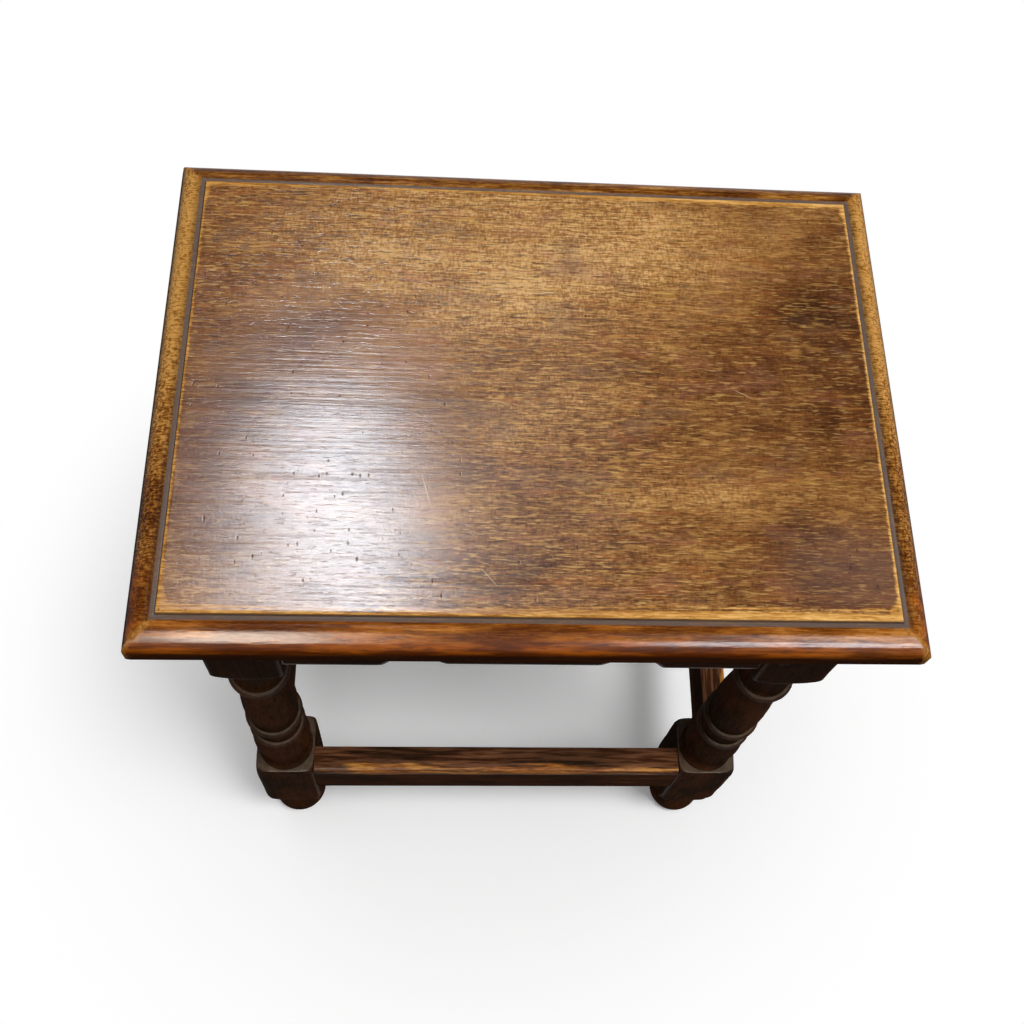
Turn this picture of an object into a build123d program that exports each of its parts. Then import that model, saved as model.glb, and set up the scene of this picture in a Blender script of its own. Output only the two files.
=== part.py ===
from build123d import *
from math import cos, radians, sin
import os

# Joint stool: a moulded oak top on four turned legs, joined by shaped aprons and low stretchers.
# Millimetres. Z is up, X runs along the top, Y from front to back, and the origin is on the floor
# under the middle of the top.

# ---- Top board
top_length = 450.0
top_width = 325.0
stool_height = 555.0
top_thickness = 24.0
top_corner_radius = 3.0
top_under_chamfer = 2.0
thumb_width = 13.5
thumb_rise = 9.0
thumb_crown_drop = 1.2
quirk_width = 3.5
quirk_depth = 3.0

# ---- Legs
leg_square = 46.0
leg_arris = 1.0
side_overhang = 30.0
front_overhang = 21.0
foot_height = 62.0
lower_block_height = 105.0
top_block_height = 98.0
shoulder_drop = 7.0
turning_clearance = 2.0

# ---- Foot turning
sole_radius = 17.0
foot_bulb_radius = 21.5
foot_bulb_height = 20.0
foot_neck_radius = 15.5
foot_neck_length = 6.0

# ---- Turning between the blocks, heights above the lower block
base_radius = 21.5
base_rise = 3.0
cup_neck_radius = 19.6
cup_neck_height = 10.0
cup_radius = 22.0
cup_height = 38.0
ring_stand = 3.0
ring_flat = 0.8
ring_thickness = 6.0
lower_ring_height = 73.0
middle_ring_height = 102.0
upper_ring_height = 207.0
ring_band_radius = 18.2
column_foot_radius = 18.0
column_swell_radius = 19.6
column_swell_height = 134.0
column_neck_radius = 16.8
top_neck_radius = 17.2
top_collar_radius = 19.8
top_collar_length = 7.0

# ---- Aprons
apron_thickness = 22.0
apron_setback = 3.0
bracket_depth = 83.0
arch_rise = 12.0
centre_drop = 8.0
front_bracket_length = 59.0
side_bracket_length = 42.0
front_drop_width = 92.0
side_drop_width = 44.0
ogee_length = 12.0
apron_tenon_haunch = 14.0
apron_tenon_foot = 8.0
apron_tenon_length = 25.0

# ---- Stretchers
stretcher_thickness = 21.0
stretcher_height = 52.0
stretcher_setback = 0.5
stretcher_top_drop = 3.0
stretcher_worn_radius = 4.0
stretcher_arris = 1.0
stretcher_tenon_shoulder = 7.0
stretcher_tenon_length = 27.0

# ---- Tenons and pegs
tenon_thickness = 8.0
mortise_gap = 0.1
mortise_end_gap = 0.3
peg_radius = 4.0
peg_gap = 0.05
peg_length = 27.0
peg_proud = 0.6
peg_chamfer = 0.5
peg_from_shoulder = 11.0
apron_peg_spacing = 34.0

# ---- Glue blocks and screws under the top
block_leg = 22.0
block_length = 48.0
block_chamfer = 6.0
block_place = 55.0
screw_spacing = 108.0
screw_tilt = 15.0
screw_shank_radius = 2.1
screw_head_radius = 4.2
screw_head_height = 2.4
screw_seat_depth = 20.0
screw_bite = 14.0
screw_gap = 0.05
pocket_radius = 5.0
pocket_length = 60.0

# ---- Places worked out from the sizes above
apron_top = stool_height - top_thickness
leg_x = top_length / 2 - side_overhang - leg_square / 2
leg_y = top_width / 2 - front_overhang - leg_square / 2
half_square = leg_square / 2
rail_half_x = leg_x - half_square
rail_half_y = leg_y - half_square
lower_block_top = foot_height + lower_block_height
top_block_foot = apron_top - top_block_height
apron_face_x = leg_x + half_square - apron_setback
apron_face_y = leg_y + half_square - apron_setback
stretcher_face_x = leg_x + half_square - stretcher_setback
stretcher_face_y = leg_y + half_square - stretcher_setback
stretcher_top = lower_block_top - stretcher_top_drop
apron_tenon_height = bracket_depth - apron_tenon_haunch - apron_tenon_foot
apron_tenon_middle = apron_top - apron_tenon_haunch - apron_tenon_height / 2
stretcher_tenon_height = stretcher_height - 2 * stretcher_tenon_shoulder
stretcher_middle = stretcher_top - stretcher_height / 2
# A corner of the square blank lies this far from the leg's axis.
clear_radius = half_square * 2**0.5 + turning_clearance

os.makedirs("parts", exist_ok=True)


def save(builder, name):
    """Label a finished piece and write it under its own name."""
    builder.part.label = name
    export_step(builder.part, f"parts/{name}.step")


def face_plane(side, distance):
    """Vertical plane seen from outside the stool, with local X along the rail and local Y up."""
    outward = {"front": (0, -1, 0), "back": (0, 1, 0), "left": (-1, 0, 0), "right": (1, 0, 0)}[side]
    along = {"front": (1, 0, 0), "back": (-1, 0, 0), "left": (0, -1, 0), "right": (0, 1, 0)}[side]
    origin = tuple(distance * axis for axis in outward)
    return Plane(origin=origin, x_dir=along, z_dir=outward)


def is_long(side):
    """The front and back rails run along X, the other two along Y."""
    return side in ("front", "back")


# ---- Top board -------------------------------------------------------------------------------
# The moulding is cut round the edge with mitred corners: a flat quirk beside the raised field,
# then the thumb, a quarter ellipse that falls to the upright edge.
field_inset = thumb_width + quirk_width
thumb_crown = stool_height - thumb_crown_drop
quirk_floor = stool_height - quirk_depth
# The cutter stands this far outside the board, to leave nothing thin behind.
cutter_reach = 5.0
cutter_top = stool_height + cutter_reach

with BuildPart() as top_board:
    with BuildSketch(Plane.XY.offset(apron_top)):
        RectangleRounded(top_length, top_width, top_corner_radius)
    extrude(amount=top_thickness)
    chamfer(top_board.faces().sort_by(Axis.Z)[0].edges(), top_under_chamfer)
    with BuildLine(Plane.XY.offset(stool_height)) as edge_path:
        Polyline(
            (0, -top_width / 2),
            (top_length / 2, -top_width / 2),
            (top_length / 2, top_width / 2),
            (-top_length / 2, top_width / 2),
            (-top_length / 2, -top_width / 2),
            (0, -top_width / 2),
        )
    with BuildSketch(Plane(origin=(0, -top_width / 2, 0), x_dir=(0, 1, 0), z_dir=(1, 0, 0))):
        with BuildLine():
            Polyline(
                (field_inset, cutter_top),
                (field_inset, quirk_floor),
                (thumb_width, quirk_floor),
                (thumb_width, thumb_crown),
            )
            EllipticalCenterArc(
                (thumb_width, thumb_crown - thumb_rise),
                x_radius=thumb_width,
                y_radius=thumb_rise,
                start_angle=90,
                arc_size=90,
            )
            Polyline(
                (0, thumb_crown - thumb_rise),
                (-cutter_reach, thumb_crown - thumb_rise),
                (-cutter_reach, cutter_top),
                (field_inset, cutter_top),
            )
        make_face()
    sweep(path=edge_path.wires()[0], transition=Transition.RIGHT, mode=Mode.SUBTRACT)


# ---- Pocket screws --------------------------------------------------------------------------
def screw_planes():
    """Planes where each screw crosses from an apron into the top, facing up along the screw."""
    planes = []
    middle = apron_face_y - apron_thickness / 2
    for side in (-1, 1):
        for x in (-screw_spacing, 0, screw_spacing):
            lean = (0, side * sin(radians(screw_tilt)), cos(radians(screw_tilt)))
            planes.append(Plane(origin=(x, side * middle, apron_top), x_dir=(1, 0, 0), z_dir=lean))
    return planes


with BuildPart() as top_screws:
    for plane in screw_planes():
        seat = plane.offset(-screw_seat_depth)
        with BuildSketch(seat):
            Circle(screw_shank_radius)
        extrude(amount=screw_seat_depth + screw_bite)
        with BuildSketch(seat.offset(-screw_head_height)):
            Circle(screw_head_radius)
        extrude(amount=screw_head_height)

# Blind holes for the screws, in the underside of the top.
with top_board:
    for plane in screw_planes():
        with BuildSketch(plane.offset(-screw_bite)):
            Circle(screw_shank_radius + screw_gap)
        extrude(amount=2 * screw_bite + screw_gap, mode=Mode.SUBTRACT)

save(top_board, "top_board")
save(top_screws, "top_screws")


# ---- Legs -----------------------------------------------------------------------------------
def ring(height):
    """A bead round the leg: a half round standing on a short flat."""
    low = lower_block_top + height - ring_thickness / 2
    high = low + ring_thickness
    flat_radius = ring_band_radius + ring_flat
    Line((ring_band_radius, low), (flat_radius, low))
    ThreePointArc(
        (flat_radius, low),
        (ring_band_radius + ring_stand, (low + high) / 2),
        (flat_radius, high),
    )
    Line((flat_radius, high), (ring_band_radius, high))


def ring_edge(height, side):
    """Height of the lower (-1) or upper (1) side of a ring."""
    return lower_block_top + height + side * ring_thickness / 2


def leg_profile():
    """Half outline of the lathe work. It stands clear of the square blank at both blocks."""
    foot_shoulder = foot_height - shoulder_drop
    foot_neck = foot_shoulder - foot_neck_length
    block_low = foot_height + turning_clearance
    block_high = lower_block_top - turning_clearance
    cup_bottom = lower_block_top + base_rise
    band_low = ring_edge(lower_ring_height, 1)
    band_high = ring_edge(middle_ring_height, -1)
    column_low = ring_edge(middle_ring_height, 1)
    column_high = ring_edge(upper_ring_height, -1)
    top_neck = ring_edge(upper_ring_height, 1)
    top_shoulder = top_block_foot - shoulder_drop
    collar = top_shoulder - top_collar_length

    Line((0, 0), (sole_radius, 0))
    Spline(
        (sole_radius, 0),
        (foot_bulb_radius, foot_bulb_height),
        (foot_neck_radius, foot_neck),
        tangents=[(1, 2), (0, 1)],
    )
    Line((foot_neck_radius, foot_neck), (foot_neck_radius, foot_shoulder))
    Spline((foot_neck_radius, foot_shoulder), (clear_radius, block_low), tangents=[(1, 0), (1, 1)])
    Polyline(
        (clear_radius, block_low),
        (clear_radius, block_high),
        (base_radius, lower_block_top),
        (base_radius, cup_bottom),
    )
    Spline(
        (base_radius, cup_bottom),
        (cup_neck_radius, lower_block_top + cup_neck_height),
        (cup_radius, lower_block_top + cup_height),
        (ring_band_radius, ring_edge(lower_ring_height, -1)),
        tangents=[(-1, 1), (-1, 1)],
    )
    ring(lower_ring_height)
    Line((ring_band_radius, band_low), (ring_band_radius, band_high))
    ring(middle_ring_height)
    Line((ring_band_radius, column_low), (column_foot_radius, column_low))
    Spline(
        (column_foot_radius, column_low),
        (column_swell_radius, lower_block_top + column_swell_height),
        (column_neck_radius, column_high),
        tangents=[(1, 4), (0, 1)],
    )
    Line((column_neck_radius, column_high), (ring_band_radius, column_high))
    ring(upper_ring_height)
    Line((ring_band_radius, top_neck), (top_neck_radius, top_neck))
    Spline((top_neck_radius, top_neck), (top_collar_radius, collar), tangents=[(0, 1), (0, 1)])
    Line((top_collar_radius, collar), (top_collar_radius, top_shoulder))
    Spline(
        (top_collar_radius, top_shoulder),
        (clear_radius, top_block_foot + turning_clearance),
        tangents=[(1, 0), (1, 1)],
    )
    Polyline(
        (clear_radius, top_block_foot + turning_clearance),
        (clear_radius, apron_top),
        (0, apron_top),
        (0, 0),
    )


def mortise(plane, along, middle, height, length):
    """Cut one mortise into the leg's inner face, which lies at `along` on the rail's plane."""
    inward = 1 if along > 0 else -1
    depth = length + mortise_end_gap
    with BuildSketch(plane.offset(mortise_gap)) as mouth:
        with Locations((along + inward * depth / 2, middle)):
            Rectangle(depth, height + 2 * mortise_gap)
    extrude(mouth.sketch, amount=-tenon_thickness - 2 * mortise_gap, mode=Mode.SUBTRACT)


def peg_hole(plane, along, heights):
    """Bore the draw peg holes through a block from its outer face."""
    with BuildSketch(plane) as bores:
        with Locations(*[(along, height) for height in heights]):
            Circle(peg_radius + peg_gap)
    extrude(bores.sketch, amount=-peg_length - peg_gap, mode=Mode.SUBTRACT)


apron_peg_heights = tuple(apron_tenon_middle + end * apron_peg_spacing / 2 for end in (-1, 1))
stretcher_peg_heights = (stretcher_middle,)


def tenon_plane(side, face, thickness):
    """Plane of a tenon's outer cheek, for a rail whose outer face lies at `face`."""
    return face_plane(side, face - (thickness - tenon_thickness) / 2)


def block_plane(side):
    """Plane of the blocks' outer faces."""
    return face_plane(side, leg_y + half_square if is_long(side) else leg_x + half_square)


def build_leg(end_side, front_side):
    """One leg, such as left and front, with the joints on its two inner faces."""
    x = leg_x if end_side == "right" else -leg_x
    y = leg_y if front_side == "back" else -leg_y
    with BuildPart() as leg:
        with BuildSketch(Plane(origin=(x, y, 0))):
            Rectangle(leg_square, leg_square)
        extrude(amount=apron_top)
        chamfer(leg.edges().filter_by(Axis.Z), leg_arris)
        with BuildSketch(Plane(origin=(x, y, 0), x_dir=(1, 0, 0), z_dir=(0, -1, 0))):
            with BuildLine():
                leg_profile()
            make_face()
        revolve(axis=Axis((x, y, 0), (0, 0, 1)), mode=Mode.INTERSECT)
        for side in (front_side, end_side):
            long_rail = is_long(side)
            face = apron_face_y if long_rail else apron_face_x
            low_face = stretcher_face_y if long_rail else stretcher_face_x
            half = rail_half_x if long_rail else rail_half_y
            # The leg lies at the positive or the negative end of this side's own X direction.
            local_x = block_plane(side).to_local_coords(Vector(x, y, 0)).X
            end = 1 if local_x > 0 else -1
            mortise(
                tenon_plane(side, face, apron_thickness),
                end * half,
                apron_tenon_middle,
                apron_tenon_height,
                apron_tenon_length,
            )
            mortise(
                tenon_plane(side, low_face, stretcher_thickness),
                end * half,
                stretcher_middle,
                stretcher_tenon_height,
                stretcher_tenon_length,
            )
            peg_hole(block_plane(side), end * (half + peg_from_shoulder), apron_peg_heights)
            peg_hole(block_plane(side), end * (half + peg_from_shoulder), stretcher_peg_heights)
    return leg


for front_side in ("front", "back"):
    for end_side in ("left", "right"):
        save(build_leg(end_side, front_side), f"leg_{front_side}_{end_side}")


# ---- Aprons ---------------------------------------------------------------------------------
def apron_outline(half, bracket, drop_width):
    """Face of an apron: brackets at the legs, an arch each side and a shallow drop in the middle."""
    bracket_foot = apron_top - bracket_depth
    arch = bracket_foot + arch_rise
    drop = arch - centre_drop
    bracket_end = half - bracket
    drop_start = drop_width / 2
    Line((-half, apron_top), (half, apron_top))
    for end in (-1, 1):
        Line((end * half, apron_top), (end * half, bracket_foot))
        Line((end * half, bracket_foot), (end * bracket_end, bracket_foot))
        Spline(
            (end * bracket_end, bracket_foot),
            (end * (bracket_end - ogee_length), arch),
            tangents=[(-end, 0), (-end, 0)],
        )
        Line((end * (bracket_end - ogee_length), arch), (end * (drop_start + ogee_length), arch))
        Spline(
            (end * (drop_start + ogee_length), arch),
            (end * drop_start, drop),
            tangents=[(-end, 0), (-end, 0)],
        )
    Line((-drop_start, drop), (drop_start, drop))


def tenons(plane, half, middle, height, length):
    """Both tenons of a rail, grown from its shoulders."""
    with BuildSketch(plane) as ends:
        with Locations(*[(end * (half + length / 2), middle) for end in (-1, 1)]):
            Rectangle(length, height)
    extrude(ends.sketch, amount=-tenon_thickness)


def peg_bores(plane, along, heights):
    """Holes through both tenons for the draw pegs."""
    with BuildSketch(plane) as bores:
        with Locations(*[(end * along, height) for end in (-1, 1) for height in heights]):
            Circle(peg_radius + peg_gap)
    extrude(bores.sketch, amount=-tenon_thickness, mode=Mode.SUBTRACT)


for side in ("front", "back", "left", "right"):
    face = apron_face_y if is_long(side) else apron_face_x
    half = rail_half_x if is_long(side) else rail_half_y
    bracket = front_bracket_length if is_long(side) else side_bracket_length
    drop_width = front_drop_width if is_long(side) else side_drop_width
    cheek = tenon_plane(side, face, apron_thickness)
    with BuildPart() as apron:
        with BuildSketch(face_plane(side, face)):
            with BuildLine():
                apron_outline(half, bracket, drop_width)
            make_face()
        extrude(amount=-apron_thickness)
        tenons(cheek, half, apron_tenon_middle, apron_tenon_height, apron_tenon_length)
        peg_bores(cheek, half + peg_from_shoulder, apron_peg_heights)
        if is_long(side):
            # Pockets for the screws, bored from the inner face up into the top edge.
            for plane in screw_planes():
                if (plane.origin.Y > 0) == (side == "back"):
                    with BuildSketch(plane.offset(-screw_seat_depth)):
                        Circle(pocket_radius)
                    extrude(amount=-pocket_length, mode=Mode.SUBTRACT)
                    with BuildSketch(plane.offset(screw_bite)):
                        Circle(screw_shank_radius + screw_gap)
                    extrude(amount=-screw_bite - screw_seat_depth, mode=Mode.SUBTRACT)
    save(apron, f"apron_{side}")


# ---- Stretchers -----------------------------------------------------------------------------
for side in ("front", "back", "left", "right"):
    face = stretcher_face_y if is_long(side) else stretcher_face_x
    half = rail_half_x if is_long(side) else rail_half_y
    cheek = tenon_plane(side, face, stretcher_thickness)
    outer = face_plane(side, face)
    rail_axis = Axis.X if is_long(side) else Axis.Y
    with BuildPart() as stretcher:
        with BuildSketch(outer):
            with Locations((0, stretcher_middle)):
                Rectangle(2 * half, stretcher_height)
        extrude(amount=-stretcher_thickness)
        long_edges = stretcher.edges().filter_by(rail_axis)
        outer_edges = long_edges.sort_by(lambda edge: outer.to_local_coords(edge.center()).Z)[-2:]
        worn_edge = outer_edges.sort_by(Axis.Z)[-1:]
        plain_edges = long_edges - worn_edge
        fillet(worn_edge, stretcher_worn_radius)
        chamfer(plain_edges, stretcher_arris)
        tenons(cheek, half, stretcher_middle, stretcher_tenon_height, stretcher_tenon_length)
        peg_bores(cheek, half + peg_from_shoulder, stretcher_peg_heights)
    save(stretcher, f"stretcher_{side}")


# ---- Draw pegs ------------------------------------------------------------------------------
def build_pegs(side, heights):
    """The pegs of one rail: round pins driven in from the outer face and left a little proud."""
    half = rail_half_x if is_long(side) else rail_half_y
    along = half + peg_from_shoulder
    with BuildPart() as pegs:
        with BuildSketch(block_plane(side).offset(peg_proud)):
            with Locations(*[(end * along, height) for end in (-1, 1) for height in heights]):
                Circle(peg_radius)
        extrude(amount=-peg_length - peg_proud)
        chamfer(pegs.edges().filter_by(GeomType.CIRCLE), peg_chamfer)
    return pegs


for side in ("front", "back", "left", "right"):
    save(build_pegs(side, apron_peg_heights), f"apron_pegs_{side}")
    save(build_pegs(side, stretcher_peg_heights), f"stretcher_pegs_{side}")


# ---- Glue blocks ----------------------------------------------------------------------------
def build_glue_block(side, along):
    """A block rubbed into the corner between an apron and the underside of the top."""
    inner = (apron_face_y if is_long(side) else apron_face_x) - apron_thickness
    plane = face_plane(side, inner)
    with BuildPart() as block:
        with BuildSketch(plane):
            with Locations((along, apron_top - block_leg / 2)):
                Rectangle(block_length, block_leg)
        extrude(amount=-block_leg)
        low_edges = block.faces().sort_by(Axis.Z)[0].edges()
        inner_edge = low_edges.sort_by(lambda edge: plane.to_local_coords(edge.center()).Z)[0]
        chamfer(inner_edge, block_chamfer)
    return block


for side, place in (("front", -1), ("front", 1), ("back", 1), ("back", -1)):
    name = f"glue_block_{side}_{'left' if (place < 0) == (side == 'front') else 'right'}"
    save(build_glue_block(side, place * block_place), name)
for side in ("left", "right"):
    save(build_glue_block(side, 0), f"glue_block_{side}")
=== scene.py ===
from math import atan2, cos, exp, hypot, log, pi, radians, sin

import bmesh
import bpy
from bpy.props import FloatProperty, FloatVectorProperty, IntProperty, PointerProperty
from mathutils import Matrix, Vector, noise
from mathutils.geometry import interpolate_bezier


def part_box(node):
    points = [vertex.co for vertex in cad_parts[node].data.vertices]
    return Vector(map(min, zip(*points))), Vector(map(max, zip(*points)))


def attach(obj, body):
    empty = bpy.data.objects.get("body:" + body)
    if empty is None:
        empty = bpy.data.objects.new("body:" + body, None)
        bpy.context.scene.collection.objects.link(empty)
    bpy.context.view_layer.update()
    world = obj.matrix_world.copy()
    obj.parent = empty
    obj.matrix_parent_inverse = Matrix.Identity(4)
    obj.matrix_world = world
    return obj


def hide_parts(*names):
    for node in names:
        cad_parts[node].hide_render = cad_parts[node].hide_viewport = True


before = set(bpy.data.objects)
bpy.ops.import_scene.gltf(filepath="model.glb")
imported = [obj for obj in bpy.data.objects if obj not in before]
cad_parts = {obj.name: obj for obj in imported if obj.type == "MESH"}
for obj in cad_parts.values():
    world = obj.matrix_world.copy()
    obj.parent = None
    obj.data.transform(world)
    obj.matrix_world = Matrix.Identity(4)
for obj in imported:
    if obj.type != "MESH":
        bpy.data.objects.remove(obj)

bl_info = {
    "name": "Joint Stool",
    "version": (1, 0, 0),
    "blender": (4, 5, 0),
    "location": "View3D > Sidebar > Joint Stool",
    "description": "Dresses the joint stool: moulded top, turned legs, shaped aprons and worn stretchers",
    "category": "Object",
}

SIDES = ("front", "back", "left", "right")
LONG_SIDES = ("front", "back")
CORNERS = ("front_left", "front_right", "back_left", "back_right")


# ---- Settings ---------------------------------------------------------------------------------
def srgb(red, green, blue):
    """A colour given as it shows on a screen, 0 to 255, as Blender's linear colour."""
    shares = (red / 255, green / 255, blue / 255)
    return tuple(s / 12.92 if s <= 0.04045 else ((s + 0.055) / 1.055) ** 2.4 for s in shares)


def length(name, description, default):
    return FloatProperty(
        name=name, description=description, default=default, min=0.0, precision=4, unit="LENGTH"
    )


def factor(name, description, default):
    return FloatProperty(
        name=name, description=description, default=default, min=0.0, max=1.0, subtype="FACTOR"
    )


def angle(name, description, default):
    return FloatProperty(name=name, description=description, default=radians(default), subtype="ANGLE")


def colour(name, description, default):
    return FloatVectorProperty(
        name=name, description=description, default=default, min=0.0, max=1.0, size=3, subtype="COLOR"
    )


def place(name, description, default):
    return FloatVectorProperty(
        name=name, description=description, default=default, size=3, subtype="TRANSLATION", unit="LENGTH"
    )


class StoolTopSettings(bpy.types.PropertyGroup):
    """The moulded edge of the top and its finish."""

    thumb_width: length("Thumb width", "Width of the rounded part of the edge", 0.0135)
    thumb_rise: length("Thumb rise", "Height of the rounded part of the edge", 0.0135)
    crown_drop: length("Crown drop", "How far the thumb lies below the field", 0.0012)
    quirk_width: length("Quirk width", "Width of the sunk channel beside the field", 0.0035)
    quirk_depth: length("Quirk depth", "Depth of the sunk channel below the field", 0.0024)
    corner_radius: length("Corner radius", "Rounding of the four corners", 0.0024)
    under_round: length("Under rounding", "Rounding of the lower edge", 0.0030)
    mesh_step: length("Mesh step", "Spacing of the mesh along the edges", 0.003)
    field_softness: length("Field softness", "Rounding that wear gave the field's edge", 0.0008)
    edge_wander: length("Edge wander", "How far the worn edges wander inwards", 0.00015)
    front_left_gain: length("Front gain, left", "Extra width of the front moulding, left end", 0.0030)
    front_right_gain: length("Front gain, right", "Extra width of the front moulding, right end", 0.0018)
    left_gain: length("Left gain", "Extra width of the left moulding", 0.0011)
    right_gain: length("Right gain", "Extra width of the right moulding", 0.0004)
    corner_pull: length("Corner pull", "How far the front right corner stands back from square", 0.00145)
    back_taper: length("Back taper", "How much narrower each side is at the back", 0.0006)
    deep: colour("Deep stain", "Pores of the thumb and pits of the field", srgb(66, 36, 20))
    russet: colour("Russet", "Redder stain towards the left", srgb(110, 56, 32))
    # Partly a painted sheen: the grime in the quirk is painted a paler grey that stands for light glancing
    # off it.
    dirt_and_sheen: colour("Quirk dirt", "Old wax and dirt in the quirk", srgb(101, 89, 83))


class StoolLegSettings(bpy.types.PropertyGroup):
    """The turning of the legs and the finish of the frame. Heights are above the floor."""

    foot_height: length("Foot height", "Height of the turned foot under the lower block", 0.062)
    lower_block_top: length("Lower block top", "Height of the lower block's upper end", 0.167)
    top_block_foot: length("Top block foot", "Height where the top block's corners start", 0.433)
    shoulder: length("Shoulder", "Length of the rounded shoulder under a block", 0.007)
    block_round: length("Block rounding", "How far the lower block's top corners are rounded down", 0.0046)
    clearance: length("Clearance", "How far the lathe work stands clear of a block's corner", 0.002)
    sole: length("Sole radius", "Radius of the flat sole", 0.0185)
    bulb: length("Foot bulb radius", "Largest radius of the foot", 0.0228)
    bulb_height: length("Foot bulb height", "Height of the foot's largest radius", 0.017)
    foot_neck: length("Foot neck radius", "Radius between the foot and the block", 0.0155)
    base: length("Base radius", "Radius of the turning where it meets the lower block", 0.0215)
    cup_neck: length("Cup neck radius", "Radius of the hollow under the cup", 0.0196)
    cup: length("Cup radius", "Largest radius of the cup", 0.022)
    band: length("Band radius", "Radius between the lower rings", 0.0182)
    swell: length("Column radius", "Largest radius of the column", 0.0196)
    column_neck: length("Column neck radius", "Radius at the column's upper end", 0.0168)
    top_neck: length("Top neck radius", "Radius above the upper ring", 0.0172)
    collar: length("Collar radius", "Radius of the plain collar under the top block", 0.0198)
    ring_height: length("Ring height", "Height of one bead along the leg", 0.006)
    ring_stand: length("Ring stand", "How far a bead stands out", 0.003)
    lower_ring: length("Lower ring", "Height of the lower ring", 0.240)
    middle_ring: length("Middle ring", "Height of the middle ring", 0.269)
    upper_ring: length("Upper ring", "Height of the upper ring", 0.374)
    lathe_steps: IntProperty(
        name="Lathe steps", description="Faces round a leg, a multiple of eight", default=144, min=16
    )
    stain: colour("Frame stain", "Near-black stain of the legs and rails", srgb(38, 27, 17))
    warm: colour("Frame warm", "Warmer brown that shows through the stain", srgb(76, 42, 23))
    rubbed: colour("Frame rubbed", "Brown of rubbed edges and beads", srgb(104, 70, 44))


class StoolRailSettings(bpy.types.PropertyGroup):
    """The shaping of the aprons and stretchers."""

    bracket_front: length("Front bracket", "Length of a bracket on the long aprons", 0.059)
    bracket_side: length("Side bracket", "Length of a bracket on the short aprons", 0.042)
    arch_rise: length("Arch rise", "Height of the arches above the brackets", 0.012)
    centre_drop: length("Centre drop", "How far the middle hangs below the arches", 0.008)
    drop_front: length("Front drop width", "Width of the middle drop on the long aprons", 0.092)
    drop_side: length("Side drop width", "Width of the middle drop on the short aprons", 0.044)
    ogee: length("Ogee length", "Length of each curved step", 0.012)
    arris: length("Arris", "Softening of the rails' edges", 0.0009)
    worn_radius: length("Worn radius", "Rounding of the stretchers' upper outer edge", 0.0042)
    worn_depth: length("Worn depth", "How far that edge is worn down in places", 0.0012)
    tenon: length("Apron tenon", "Length of the apron's tenon inside the leg", 0.025)
    low_tenon: length("Stretcher tenon", "Length of the stretcher's tenon inside the leg", 0.027)
    raw: colour("Bare oak", "Unstained oak inside and underneath", srgb(132, 98, 66))


class StoolStageSettings(bpy.types.PropertyGroup):
    """Camera, lamps and floor."""

    camera_place: place("Camera place", "Where the camera stands", (-0.0602, -0.3824, 1.2505))
    pitch: angle("Pitch", "How far the camera looks down", 63.365)
    yaw: angle("Yaw", "How far the camera turns to the right", 10.237)
    roll: angle("Roll", "How far the camera is tipped", -10.452)
    focal_px: FloatProperty(name="Focal length", description="In pixels of the picture", default=1329.3)
    centre_px: FloatVectorProperty(
        name="Picture centre",
        description="Where the lens points, in pixels",
        size=2,
        default=(537.6, 448.7),
    )
    picture_px: FloatProperty(
        name="Picture size", description="Width and height in pixels", default=1024.0
    )
    fill: factor("Fill", "Strength of the soft light from all round", 0.18)
    ceiling: factor("Ceiling", "Brightness of the studio's ceiling in reflections", 0.10)
    floor_grey: factor("Floor grey", "Colour of the floor near the stool, as it shows", 1.0)
    floor_bounce: factor("Floor bounce", "Share of light that the floor throws back on the stool", 0.45)
    floor_lift: factor("Floor lift", "White added to the floor's look near the stool", 0.16)
    sweep_start: length("Sweep start", "Distance at which the floor starts to turn pure white", 0.18)
    sweep_end: length("Sweep end", "Distance from which the floor is pure white", 0.5)


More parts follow.
